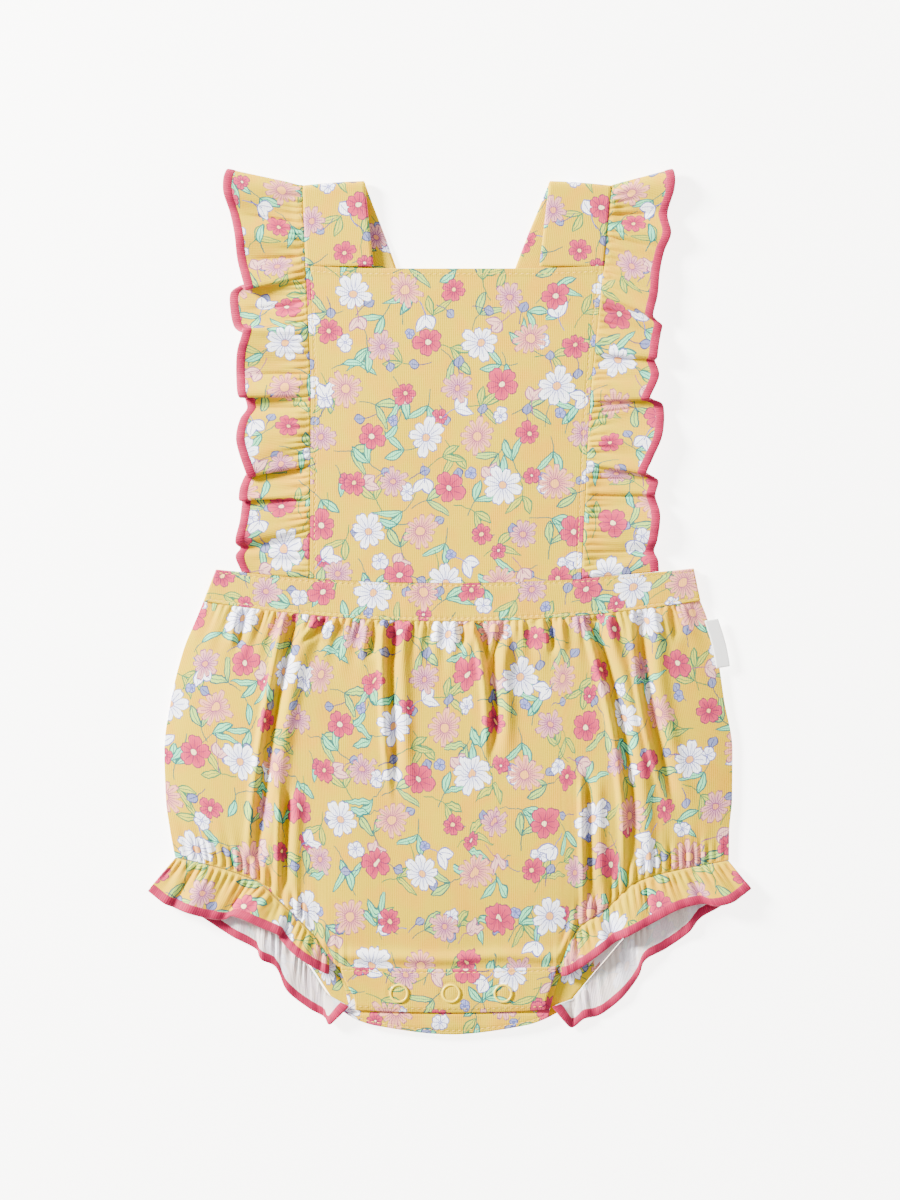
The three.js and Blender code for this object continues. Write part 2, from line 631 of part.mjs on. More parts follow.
// The bare label stands out of the right side seam, over the edge of the front panel.
const labelPoint = (across, down) => {
  const y = lerp(label.topY, label.footY, down) + across;
  const x = bloomerRight(y) - label.inset + across * label.width;
  return new THREE.Vector3(x, y, lerp(label.innerZ, label.outerZ, across));
};

addPiece("bloomer_back", bloomerBack(), yellowPrint);
addPiece("bloomer_front", wall(frontPanelPoint, knit, evenSteps(frontColumns), frontRows), yellowPrint);

const bandSteps = evenSteps(22);
const backBand = waistbandPoint(() => strapBackLayer);
const frontBand = waistbandPoint((out) => lerp(waistLayer.middle, waistLayer.side, out ** 4));
addPiece("waistband_back", wall(backBand, doubled, bandSteps, [0, 1]), yellowPrint);
addPiece("waistband_front", wall(frontBand, waistCloth, bandSteps, [0, 0.5, 1]), yellowPrint);
addPiece("bib_front", wall(bibPoint, bibCloth, evenSteps(12), evenSteps(8)), yellowPrint);

for (const side of ["left", "right"]) {
  const strap = wall(strapPoint(side), doubled, [0, 0.5, 1], strapSteps);
  addPiece(`strap_${side}`, strap, yellowPrint);
}

const shoulderOut = [0, 0.2, 0.45, 0.75, 1];
const legOut = [0, 0.25, 0.6, 1];
const shoulderTurns = { left: leftRuffleTurns, right: rightRuffleTurns };
for (const side of ["left", "right"]) {
  const turns = shoulderTurns[side];
  const sheet = ruffleSheet(shoulderSeam(side), turns);
  addRuffle(`ruffle_${side}`, sheet, turns, 2, shoulderOut, yellowPrint);
  const front = frontLegTurns[side];
  addRuffle(`leg_ruffle_front_${side}`, ruffleSheet(frontLegSeam, front), front, 2, legOut, yellowPrint);
  const back = backLegTurns[side];
  addRuffle(`leg_ruffle_back_${side}`, ruffleSheet(backLegSeam, back), back, 2, legOut, yellowPrint);
}

addPiece("placket_front", wall(frontPlacketPoint, waistCloth, evenSteps(16), evenSteps(3)), yellowPrint);
addPiece("placket_back", wall(backPlacketPoint, backPlacket.thickness, evenSteps(16), [0, 1]), yellowPrint);
for (const [i, offset] of [-1, 0, 1].entries()) {
  snapRing(`snap_ring_${i + 1}`, snap.middleX + offset * snap.pitch);
}
addPiece("label_tab", wall(labelPoint, labelCloth, [0, 0.5, 1], evenSteps(4)), whiteSatin);

romper.position.set(centring.x, centring.y, 0);

export default romper;
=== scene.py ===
import math

import bmesh
import bpy
import numpy as np
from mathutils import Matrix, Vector


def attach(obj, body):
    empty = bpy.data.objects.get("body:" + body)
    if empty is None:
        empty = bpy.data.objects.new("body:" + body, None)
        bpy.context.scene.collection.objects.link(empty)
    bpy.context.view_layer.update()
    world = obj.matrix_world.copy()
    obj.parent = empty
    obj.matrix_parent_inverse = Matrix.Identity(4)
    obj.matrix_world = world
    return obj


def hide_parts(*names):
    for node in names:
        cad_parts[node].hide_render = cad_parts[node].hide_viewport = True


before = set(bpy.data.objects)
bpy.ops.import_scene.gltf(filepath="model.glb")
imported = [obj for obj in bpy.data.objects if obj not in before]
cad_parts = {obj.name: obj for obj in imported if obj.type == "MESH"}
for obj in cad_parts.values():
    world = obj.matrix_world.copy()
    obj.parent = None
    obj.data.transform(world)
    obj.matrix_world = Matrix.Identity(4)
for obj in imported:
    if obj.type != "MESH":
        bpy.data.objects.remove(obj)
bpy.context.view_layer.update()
scene = bpy.context.scene
print("frame loaded:", len(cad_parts), "solids")

# Lengths in the tables are millimetres; meshes are made in metres.
mm = 0.001
centring = (0.23, 0.75)  # where the cloth's own middle lies in the frame
seamGap = 0.3


def lerp(a, b, t):
    return a + (b - a) * t


def ease(value, low, high):
    t = np.clip((value - low) / (high - low), 0, 1)
    return t * t * (3 - 2 * t)


def rows(columns, values):
    return [dict(zip(columns.split(), row)) for row in values]


def readTable(table, fromName, toName):
    # smooth through every row, with no overshoot
    ordered = sorted(table, key=lambda row: row[fromName])
    places = np.array([row[fromName] for row in ordered], float)
    values = np.array([row[toName] for row in ordered], float)
    slopes = np.diff(values) / np.diff(places)
    tangents = np.zeros_like(values)
    tangents[0], tangents[-1] = slopes[0], slopes[-1]
    before, after = slopes[:-1], slopes[1:]
    same = before * after > 0
    tangents[1:-1][same] = (2 * before * after)[same] / (before + after)[same]

    def read(place):
        at = np.clip(place, places[0], places[-1])
        i = np.clip(np.searchsorted(places, at, side="right") - 1, 0, len(places) - 2)
        width = places[i + 1] - places[i]
        t = (at - places[i]) / width
        bulge = t * (1 - t) * width
        blend = t * t * (3 - 2 * t)
        straight = values[i] + (values[i + 1] - values[i]) * blend
        return straight + bulge * ((1 - t) * tangents[i] - t * tangents[i + 1])

    return read


def smoothNoise(place, pitch, seed):
    # the same soft random line on every run, between -1 and 1
    knots = np.random.default_rng(seed).uniform(-1, 1, 400)
    at = np.asarray(place, float) / pitch + 100
    i = np.floor(at).astype(int)
    t = at - i
    blend = t * t * (3 - 2 * t)
    return lerp(knots[i % 400], knots[(i + 1) % 400], blend)


# Colours and materials

def linear(hexColour):
    values = [int(hexColour[i:i + 2], 16) / 255 for i in (1, 3, 5)]
    return [v / 12.92 if v <= 0.04045 else ((v + 0.055) / 1.055) ** 2.4 for v in values] + [1]


def addNode(tree, kind, inputs=None, **settings):
    node = tree.nodes.new(kind)
    for name, value in settings.items():
        setattr(node, name, value)
    for key, value in (inputs or {}).items():
        if isinstance(value, bpy.types.NodeSocket):
            tree.links.new(value, node.inputs[key])
        else:
            node.inputs[key].default_value = value
    return node


def newMaterial(name):
    material = bpy.data.materials.new(name)
    material.use_nodes = True
    return material, material.node_tree, material.node_tree.nodes["Principled BSDF"]


def runSteps(tree, known, steps):
    # each step: its name, a math operation, then numbers or the names of earlier steps
    for name, operation, *values in steps:
        inputs = {i: known[v] if isinstance(v, str) else v for i, v in enumerate(values)}
        known[name] = addNode(tree, "ShaderNodeMath", inputs, operation=operation).outputs[0]


def clothPlace(tree, wobble=0.0):
    # the place on the unrolled cloth in millimetres, shaken a little where lines are hand drawn
    place = addNode(tree, "ShaderNodeUVMap", uv_map="clothMap").outputs[0]
    place = addNode(tree, "ShaderNodeVectorMath", {0: place, 1: (1000, 1000, 1000)}, operation="MULTIPLY").outputs[0]
    if wobble:
        noise = addNode(tree, "ShaderNodeTexNoise", {"Vector": place, "Scale": 0.21, "Detail": 2.0})
        shake = addNode(tree, "ShaderNodeVectorMath", {0: noise.outputs["Color"], 1: (0.5, 0.5, 0.5)},
                        operation="SUBTRACT").outputs[0]
        place = addNode(tree, "ShaderNodeVectorMath", {0: shake, 1: (wobble, wobble, 0), 2: place},
                        operation="MULTIPLY_ADD").outputs[0]
    split = addNode(tree, "ShaderNodeSeparateXYZ", {0: place})
    return {"u": split.outputs[0], "v": split.outputs[1]}


def motifPlace(tree, place, layer):
    # which cell of a layer's brick lattice a point is in, and where it is from the motif's middle
    known = dict(place)
    wide, high = layer["cell"]
    shiftU, shiftV = layer["shift"]
    count = len(layer["kinds"])
    runSteps(tree, known, [
        ("vCell", "MULTIPLY_ADD", "v", 1 / high, shiftV),
        ("row", "FLOOR", "vCell"),
        ("odd", "FLOORED_MODULO", "row", 2.0),
        ("uStraight", "MULTIPLY_ADD", "u", 1 / wide, shiftU),
        ("uCell", "MULTIPLY_ADD", "odd", 0.5, "uStraight"),
        ("column", "FLOOR", "uCell"),
        ("twiceRow", "MULTIPLY_ADD", "row", 2.0, "column"),
        ("kind", "FLOORED_MODULO", "twiceRow", float(count)),
        ("kindPlace", "MULTIPLY_ADD", "kind", 1 / count, 0.5 / count),
    ])
    cell = addNode(tree, "ShaderNodeCombineXYZ", {0: known["column"], 1: known["row"], 2: layer["seed"]})
    chance = addNode(tree, "ShaderNodeTexWhiteNoise", {"Vector": cell.outputs[0]}, noise_dimensions="3D")
    random = addNode(tree, "ShaderNodeSeparateXYZ", {0: chance.outputs["Color"]})
    known.update(chanceX=random.outputs[0], chanceY=random.outputs[1], chanceTurn=random.outputs[2])
    for column in layer["kinds"][0]:
        ramp = addNode(tree, "ShaderNodeValToRGB", {0: known["kindPlace"]})
        ramp.color_ramp.interpolation = "CONSTANT"
        for i, kind in enumerate(layer["kinds"]):
            stop = ramp.color_ramp.elements[0] if i == 0 else ramp.color_ramp.elements.new(i / count)
            value = kind[column]
            stop.color = linear(value) if isinstance(value, str) else [v / 16 for v in value] + [1]
        ramp.color_ramp.elements.remove(ramp.color_ramp.elements[-1])
        known[column] = ramp.outputs[0]
    sizes = addNode(tree, "ShaderNodeSeparateXYZ", {0: known["sizes"]})
    known.update(sizeA=sizes.outputs[0], sizeB=sizes.outputs[1], sizeC=sizes.outputs[2])
    runSteps(tree, known, [
        ("radius", "MULTIPLY", "sizeA", 16.0),
        ("room", "SUBTRACT", layer["room"], "radius"),
        ("reach", "MULTIPLY", "room", 2.0),
        ("uPart", "FRACT", "uCell"),
        ("vPart", "FRACT", "vCell"),
        ("x0", "MULTIPLY_ADD", "uPart", wide, -wide / 2),
        ("y0", "MULTIPLY_ADD", "vPart", high, -high / 2),
        ("offX", "SUBTRACT", "chanceX", 0.5),
        ("offY", "SUBTRACT", "chanceY", 0.5),
        ("moveX", "MULTIPLY", "offX", "reach"),
        ("moveY", "MULTIPLY", "offY", "reach"),
        ("x", "SUBTRACT", "x0", "moveX"),
        ("y", "SUBTRACT", "y0", "moveY"),
        ("turn", "MULTIPLY", "chanceTurn", 2 * math.pi),
        ("xx", "MULTIPLY", "x", "x"),
        ("square", "MULTIPLY_ADD", "y", "y", "xx"),
        ("r", "SQRT", "square"),
    ])
    return known


petalSteps = [
    ("petals", "MULTIPLY", "sizeB", 16.0),
    ("middle", "MULTIPLY", "sizeC", 16.0),
    ("rawAngle", "ARCTAN2", "y", "x"),
    ("angle", "ADD", "rawAngle", "turn"),
    ("turns", "MULTIPLY", "angle", 1 / (2 * math.pi)),
    ("sector", "MULTIPLY", "turns", "petals"),
    ("part", "FRACT", "sector"),
    ("s", "SUBTRACT", "part", 0.5),
    ("away", "ABSOLUTE", "s"),
    ("phase", "MULTIPLY", "s", math.pi),
    ("bell", "COSINE", "phase"),
    ("round", "POWER", "bell", 0.5),
    ("whole", "FLOOR", "sector"),
    ("petalNumber", "FLOORED_MODULO", "whole", "petals"),
    ("notch", "MULTIPLY_ADD", "petals", 0.036, 0.2),
    ("body", "SUBTRACT", 1.0, "notch"),
    ("dent", "MULTIPLY_ADD", "away", -7.0, 1.0),
    ("dentOnly", "MAXIMUM", "dent", 0.0),
    ("petalShape", "MULTIPLY_ADD", "round", "notch", "body"),
    ("shape", "MULTIPLY_ADD", "dentOnly", -0.08, "petalShape"),
    ("evenEdge", "MULTIPLY", "radius", "shape"),
]
petalLineSteps = [
    ("ownLength", "MULTIPLY_ADD", "own", 0.34, 0.72),
    ("edge", "MULTIPLY", "evenEdge", "ownLength"),
    ("sectorAngle", "DIVIDE", 2 * math.pi, "petals"),
    ("sideAngle", "MULTIPLY", "away", "sectorAngle"),
    ("sideSine", "SINE", "sideAngle"),
    ("side", "MULTIPLY", "r", "sideSine"),
    ("left", "SUBTRACT", 0.5, "away"),
    ("gapAngle", "MULTIPLY", "left", "sectorAngle"),
    ("gapSine", "SINE", "gapAngle"),
    ("gap", "MULTIPLY", "r", "gapSine"),
    ("inside", "LESS_THAN", "r", "edge"),
    ("core", "LESS_THAN", "r", "middle"),
    ("outline", "COMPARE", "r", "edge", 0.29),
    ("parting", "LESS_THAN", "gap", 0.19),
    ("partInside", "MULTIPLY", "parting", "inside"),
    ("halfEdge", "MULTIPLY", "edge", 0.56),
    ("veinReach", "MULTIPLY", "radius", 0.24),
    ("veinRun", "COMPARE", "r", "halfEdge", "veinReach"),
    ("veinThin", "LESS_THAN", "side", 0.16),
    ("vein", "MULTIPLY", "veinRun", "veinThin"),
    ("coreLine", "COMPARE", "r", "middle", 0.2),
    ("lineA", "MAXIMUM", "outline", "partInside"),
    ("lineB", "MAXIMUM", "lineA", "vein"),
    ("outsideCore", "SUBTRACT", 1.0, "core"),
    ("lineC", "MULTIPLY", "lineB", "outsideCore"),
    ("lines", "MAXIMUM", "lineC", "coreLine"),
    ("ink", "MULTIPLY", "lines", 0.9),
    ("depth", "DIVIDE", "r", "edge"),
    ("fade", "MULTIPLY_ADD", "depth", -1.15, 1.05),
    ("deepness", "MAXIMUM", "fade", 0.0),
]


def flowerLayer(tree, place, layer):
    # petals in equal sectors round a centre, each with an outline, a parting line and a vein
    known = motifPlace(tree, place, layer)
    runSteps(tree, known, petalSteps)
    cell = addNode(tree, "ShaderNodeCombineXYZ", {0: known["column"], 1: known["row"], 2: known["petalNumber"]})
    known["own"] = addNode(tree, "ShaderNodeTexWhiteNoise", {"Vector": cell.outputs[0]},
                           noise_dimensions="3D").outputs[0]
    runSteps(tree, known, petalLineSteps)
    petal = addNode(tree, "ShaderNodeMix", {0: known["deepness"], 6: known["petal"], 7: known["deep"]},
                    data_type="RGBA").outputs[2]
    return [(known["inside"], petal), (known["core"], known["centre"]), (known["ink"], known["line"])]


def leafLayer(tree, place, layer):
    # a pair of almond leaves off one stem, or a single bud where the spread is nothing
    known = motifPlace(tree, place, layer)
    spread = layer["spread"]
    runSteps(tree, known, [
        ("long", "MULTIPLY", "sizeB", 16.0),
        ("half", "MULTIPLY", "sizeC", 16.0),
        ("cos", "COSINE", "turn"),
        ("sin", "SINE", "turn"),
        ("xc", "MULTIPLY", "x", "cos"),
        ("x1", "MULTIPLY_ADD", "y", "sin", "xc"),
        ("yc", "MULTIPLY", "y", "cos"),
        ("minusSin", "MULTIPLY", "sin", -1.0),
        ("y1", "MULTIPLY_ADD", "x", "minusSin", "yc"),
        ("bend", "MULTIPLY", "x1", "x1"),
        ("y2", "MULTIPLY_ADD", "bend", 0.028, "y1"),
        ("ya", "ABSOLUTE", "y2"),
        ("lxA", "MULTIPLY", "x1", math.cos(spread)),
        ("lxB", "MULTIPLY_ADD", "ya", math.sin(spread), "lxA"),
        ("lx", "SUBTRACT", "lxB", "long"),
        ("lyA", "MULTIPLY", "x1", -math.sin(spread)),
        ("ly", "MULTIPLY_ADD", "ya", math.cos(spread), "lyA"),
        ("lyAbs", "ABSOLUTE", "ly"),
        ("share", "DIVIDE", "lx", "long"),
        ("shareSquare", "MULTIPLY", "share", "share"),
        ("swell", "SUBTRACT", 1.0, "shareSquare"),
        ("body", "MULTIPLY", "half", "swell"),
        ("within", "LESS_THAN", "lyAbs", "body"),
        ("outline", "COMPARE", "lyAbs", "body", 0.33),
        ("lxAbs", "ABSOLUTE", "lx"),
        ("lengthLeft", "SUBTRACT", "long", "lxAbs"),
        ("onLeaf", "GREATER_THAN", "lengthLeft", -0.4),
        ("edgeLine", "MULTIPLY", "outline", "onLeaf"),
        ("ribThin", "LESS_THAN", "lyAbs", 0.17),
        ("ribEnd", "GREATER_THAN", "lengthLeft", 1.2),
        ("rib", "MULTIPLY", "ribThin", "ribEnd"),
        ("stemThin", "LESS_THAN", "ya", 0.26),
        ("stemRun", "COMPARE", "x1", -2.5, layer["stem"]),
        ("stem", "MULTIPLY", "stemThin", "stemRun"),
        ("lineA", "MAXIMUM", "edgeLine", "rib"),
        ("lines", "MAXIMUM", "lineA", "stem"),
        ("ink", "MULTIPLY", "lines", 0.95),
    ])
    return [(known["within"], known["petal"]), (known["ink"], known["line"])]


printValues = {
    "ground": "#ceac00", "warmGround": "#d8a202",
    "layers": [
        {"draw": leafLayer, "cell": (25, 23), "shift": (0.5, 0.5), "room": 9.0, "seed": 3.0, "spread": 0.6, "stem": 5.5,
         "kinds": [
             {"petal": "#7ed599", "line": "#1d5f5c", "sizes": (7.0, 6.0, 1.75)},
             {"petal": "#c2bb38", "line": "#2f6e4c", "sizes": (7.0, 5.6, 1.7)},
             {"petal": "#a8c65a", "line": "#1c5a58", "sizes": (7.5, 6.6, 1.8)},
         ]},
        {"draw": leafLayer, "cell": (37, 29), "shift": (0.1, 0.8), "room": 10.5, "seed": 11.0, "spread": 0.42,
         "stem": 8.5,
         "kinds": [
             {"petal": "#bcbb3e", "line": "#2f6e4c", "sizes": (7.0, 5.4, 1.6)},
             {"petal": "#7ed599", "line": "#1d5f5c", "sizes": (7.0, 6.4, 1.75)},
         ]},
        {"draw": leafLayer, "cell": (20, 27), "shift": (0.23, 0.31), "room": 6.5, "seed": 5.0, "spread": 0.0, "stem": 3.5,
         "kinds": [
             {"petal": "#767ba0", "line": "#383e66", "sizes": (3.4, 2.9, 2.4)},
             {"petal": "#74d2a4", "line": "#1d5f5c", "sizes": (3.4, 5.2, 1.8)},
             {"petal": "#8387a8", "line": "#404470", "sizes": (3.4, 2.5, 2.1)},
             {"petal": "#7c80a2", "line": "#3c4068", "sizes": (3.4, 2.7, 2.3)},
         ]},
        {"draw": flowerLayer, "cell": (31, 37), "shift": (0.62, 0.4), "room": 9.0, "seed": 9.0,
         "kinds": [
             {"petal": "#fbfbfb", "deep": "#dcdcf2", "centre": "#c9c8ea", "line": "#5558a0", "sizes": (4.8, 4, 0.6)},
             {"petal": "#8b90c0", "deep": "#7a80b4", "centre": "#7a80b4", "line": "#444a80", "sizes": (3.0, 3, 0.4)},
             {"petal": "#c8405c", "deep": "#a02a48", "centre": "#f4d7a0", "line": "#6f2b50", "sizes": (4.8, 5, 0.8)},
         ]},
        {"draw": leafLayer, "cell": (33, 41), "shift": (0.37, 0.12), "room": 9.5, "seed": 13.0, "spread": 0.5, "stem": 5.0,
         "kinds": [
             {"petal": "#fbfbfb", "line": "#5558a0", "sizes": (5.5, 4.3, 2.7)},
             {"petal": "#e8b0a0", "line": "#84486f", "sizes": (5.5, 3.8, 2.4)},
         ]},
        {"draw": flowerLayer, "cell": (26, 24), "shift": (0, 0), "room": 11.6, "seed": 7.0,
         "kinds": [
             {"petal": "#c8405a", "deep": "#a42c4a", "centre": "#f4d7a0", "line": "#6f2b50", "sizes": (8.6, 5, 1.5)},
             {"petal": "#fbfbfb", "deep": "#d8d8f0", "centre": "#e8a45a", "line": "#4f549c", "sizes": (10.6, 8, 2.0)},
             {"petal": "#e79f80", "deep": "#cf7a78", "centre": "#e9a55c", "line": "#80386a", "sizes": (10.0, 12, 2.4)},
             {"petal": "#c8405a", "deep": "#9c2645", "centre": "#f4c36a", "line": "#6f2b50", "sizes": (6.8, 6, 1.2)},
             {"petal": "#dd9a8c", "deep": "#bd7a98", "centre": "#d98b60", "line": "#74386e", "sizes": (8.2, 10, 1.6)},
         ]},
    ],
}

# The floral print: drawn once, and used by the face and, faintly, by the reverse of the cloth.
floralPrint = bpy.data.node_groups.new("floralPrint", "ShaderNodeTree")
floralPrint.interface.new_socket("Color", in_out="OUTPUT", socket_type="NodeSocketColor")
tree = floralPrint
place = clothPlace(tree, wobble=1.7)
# the ground is a little warmer in soft clouds
known = dict(place)
cloudPlace = addNode(tree, "ShaderNodeCombineXYZ", {0: place["u"], 1: place["v"]}).outputs[0]
clouds = addNode(tree, "ShaderNodeTexNoise", {"Vector": cloudPlace, "Scale": 0.07, "Detail": 1.0}).outputs[0]
runSteps(tree, known, [
    ("steep", "MULTIPLY_ADD", clouds, 4.0, -1.7),
    ("atLeast", "MAXIMUM", "steep", 0.0),
    ("warmth", "MINIMUM", "atLeast", 1.0),
])
colour = addNode(tree, "ShaderNodeMix", {0: known["warmth"], 6: linear(printValues["ground"]),
                                         7: linear(printValues["warmGround"])}, data_type="RGBA").outputs[2]
for layer in printValues["layers"]:
    for mask, paint in layer["draw"](tree, place, layer):
        colour = addNode(tree, "ShaderNodeMix", {0: mask, 6: colour, 7: paint}, data_type="RGBA").outputs[2]
addNode(tree, "NodeGroupOutput", {0: colour})


def addKnit(tree, shader, colour, strength):
    # fine ribs of knit loops, with a faint unevenness of the dye over them, and painted shade that makes the rib
    # valleys a little darker than the crests
    known = clothPlace(tree)
    runSteps(tree, known, [
        ("ribPhase", "MULTIPLY", "u", 2 * math.pi / 0.95),
        ("rib", "SINE", "ribPhase"),
        ("ribLean", "MULTIPLY_ADD", "rib", 0.9, 0.0),
        ("loopPhase", "MULTIPLY_ADD", "v", 2 * math.pi / 0.8, "ribLean"),
        ("loop", "SINE", "loopPhase"),
        ("ribPart", "MULTIPLY", "rib", 0.5),
        ("height", "MULTIPLY_ADD", "loop", 0.35, "ribPart"),
    ])
    cloud = addNode(tree, "ShaderNodeTexCoord").outputs["Object"]
    patches = addNode(tree, "ShaderNodeTexNoise", {"Vector": cloud, "Scale": 60.0, "Detail": 4.0, "Roughness": 0.6})
    fuzz = addNode(tree, "ShaderNodeTexNoise", {"Vector": cloud, "Scale": 900.0, "Detail": 2.0})
    runSteps(tree, known, [
        ("patch", "MULTIPLY_ADD", patches.outputs[0], 0.1, 0.95),
        # painted shade: the rib height lightens the crests and darkens the valleys, on top of the dye patches
        ("dyeAndRibShade", "MULTIPLY_ADD", known["height"], 0.025, "patch"),
        ("value", "MULTIPLY_ADD", fuzz.outputs[0], 0.06, "dyeAndRibShade"),
        ("relief", "MULTIPLY_ADD", fuzz.outputs[0], 0.8, "height"),
    ])
    shade = addNode(tree, "ShaderNodeHueSaturation", {"Color": colour, "Value": known["value"]})
    bump = addNode(tree, "ShaderNodeBump", {"Height": known["relief"], "Strength": strength, "Distance": 0.0002})
    tree.links.new(shade.outputs[0], shader.inputs["Base Color"])
    tree.links.new(bump.outputs[0], shader.inputs["Normal"])


# printedCottonKnit: the face of a cotton interlock knit, printed with flowers on yellow
cottonKnit, tree, shader = newMaterial("printedCottonKnit")
shader.inputs["Roughness"].default_value = 0.82
shader.inputs["Specular IOR Level"].default_value = 0.06
shader.inputs["Sheen Weight"].default_value = 0.04
shader.inputs["Sheen Roughness"].default_value = 0.45
flowers = addNode(tree, "ShaderNodeGroup", node_tree=floralPrint).outputs[0]
addKnit(tree, shader, flowers, 0.35)

# knitReverse: the unprinted inner side, where the print shows through faintly
knitReverse, tree, shader = newMaterial("knitReverse")
shader.inputs["Roughness"].default_value = 0.88
shader.inputs["Specular IOR Level"].default_value = 0.06
shader.inputs["Sheen Weight"].default_value = 0.04
shader.inputs["Sheen Roughness"].default_value = 0.5
flowers = addNode(tree, "ShaderNodeGroup", node_tree=floralPrint).outputs[0]
ghost = addNode(tree, "ShaderNodeMix", {0: 0.2, 6: linear("#ebe2e4"), 7: flowers}, data_type="RGBA").outputs[2]
addKnit(tree, shader, ghost, 0.8)

# overlockThread: glossy spun polyester, one wrap beside the other, each a little lighter or darker, with painted shade
# in the gaps between the wraps
overlockThread, tree, shader = newMaterial("overlockThread")
shader.inputs["Roughness"].default_value = 0.6
shader.inputs["Specular IOR Level"].default_value = 0.25
shader.inputs["Sheen Weight"].default_value = 0.08
known = clothPlace(tree)
runSteps(tree, known, [
    ("wraps", "MULTIPLY", "u", 1 / 1.1),
    ("wrap", "ROUND", "wraps"),
    ("valley", "SUBTRACT", "wraps", "wrap"),
    ("valleyDepth", "ABSOLUTE", "valley"),
    ("between", "MULTIPLY", "valleyDepth", 1.5),
    ("plyLean", "MULTIPLY_ADD", "v", 3.4, "wraps"),
    ("plyPhase", "MULTIPLY", "plyLean", 2 * math.pi * 2),
    ("ply", "SINE", "plyPhase"),
])
chance = addNode(tree, "ShaderNodeTexWhiteNoise", {"W": known["wrap"]}, noise_dimensions="1D")
tone = addNode(tree, "ShaderNodeMix", {0: chance.outputs[0], 6: linear("#b60a44"), 7: linear("#9e083c")},
               data_type="RGBA").outputs[2]
# painted shade: the colour darkens towards #7c0a30 in the gaps between neighbouring wraps
tone = addNode(tree, "ShaderNodeMix", {0: known["between"], 6: tone, 7: linear("#7c0a30")},
               data_type="RGBA").outputs[2]
bump = addNode(tree, "ShaderNodeBump", {"Height": known["ply"], "Strength": 0.25, "Distance": 0.0001})
tree.links.new(tone, shader.inputs["Base Color"])
tree.links.new(bump.outputs[0], shader.inputs["Normal"])

# snapEnamel: baked pale yellow enamel on pressed steel, faintly uneven
snapEnamel, tree, shader = newMaterial("snapEnamel")
shader.inputs["Roughness"].default_value = 0.3
shader.inputs["Coat Weight"].default_value = 0.35
shader.inputs["Coat Roughness"].default_value = 0.15
cloud = addNode(tree, "ShaderNodeTexCoord").outputs["Object"]
patches = addNode(tree, "ShaderNodeTexNoise", {"Vector": cloud, "Scale": 500.0, "Detail": 2.0})
tone = addNode(tree, "ShaderNodeMix", {0: patches.outputs[0], 6: linear("#f8d81c"), 7: linear("#f0ca10")},
               data_type="RGBA").outputs[2]
bump = addNode(tree, "ShaderNodeBump", {"Height": patches.outputs[0], "Strength": 0.08, "Distance": 0.0002})
tree.links.new(tone, shader.inputs["Base Color"])
tree.links.new(bump.outputs[0], shader.inputs["Normal"])

# satinTape: white woven satin ribbon, with the fine lines of its weave
satinTape, tree, shader = newMaterial("satinTape")
shader.inputs["Roughness"].default_value = 0.42
shader.inputs["Sheen Weight"].default_value = 0.2
known = clothPlace(tree)
runSteps(tree, known, [
    ("weavePhase", "MULTIPLY", "v", 2 * math.pi / 0.42),
    ("weave", "SINE", "weavePhase"),
    ("shade", "MULTIPLY_ADD", "weave", 0.03, 0.97),
])
tone = addNode(tree, "ShaderNodeHueSaturation", {"Color": linear("#fbf9f4"), "Value": known["shade"]})
bump = addNode(tree, "ShaderNodeBump", {"Height": known["weave"], "Strength": 0.2, "Distance": 0.0001})
tree.links.new(tone.outputs[0], shader.inputs["Base Color"])
tree.links.new(bump.outputs[0], shader.inputs["Normal"])

# sewingThread: pale yellow topstitching, two plies twisted, with painted shade that darkens the grooves of the twist
sewingThread, tree, shader = newMaterial("sewingThread")
shader.inputs["Roughness"].default_value = 0.6
shader.inputs["Sheen Weight"].default_value = 0.2
cloud = addNode(tree, "ShaderNodeTexCoord").outputs["Object"]
twist = addNode(tree, "ShaderNodeTexWave", {"Vector": cloud, "Scale": 900.0, "Distortion": 1.0})
# painted shade: darker yellow in the grooves of the twist, lighter on the crests
tone = addNode(tree, "ShaderNodeMix", {0: twist.outputs[1], 6: linear("#e0a818"), 7: linear("#f8d24a")},
               data_type="RGBA").outputs[2]
bump = addNode(tree, "ShaderNodeBump", {"Height": twist.outputs[1], "Strength": 0.2, "Distance": 0.0001})
tree.links.new(tone, shader.inputs["Base Color"])
tree.links.new(bump.outputs[0], shader.inputs["Normal"])
print("materials made")


# Cloth shells

def makeMesh(name, points, quads, materialIndex, uv, materials):
    mesh = bpy.data.meshes.new(name)
    placed = points.copy()
    placed[:, 0] += centring[0]
    placed[:, 1] += centring[1]
    mesh.from_pydata((placed * mm).tolist(), [], quads.tolist())
    mesh.polygons.foreach_set("material_index", materialIndex.astype(np.int32))
    mesh.polygons.foreach_set("use_smooth", np.ones(len(quads), bool))
    layer = mesh.uv_layers.new(name="clothMap")
    layer.data.foreach_set("uv", (uv[quads.ravel()] * mm).astype(np.float32).ravel())
    for material in materials:
        mesh.materials.append(material)
    piece = bpy.data.objects.new(name, mesh)
    scene.collection.objects.link(piece)
    return piece


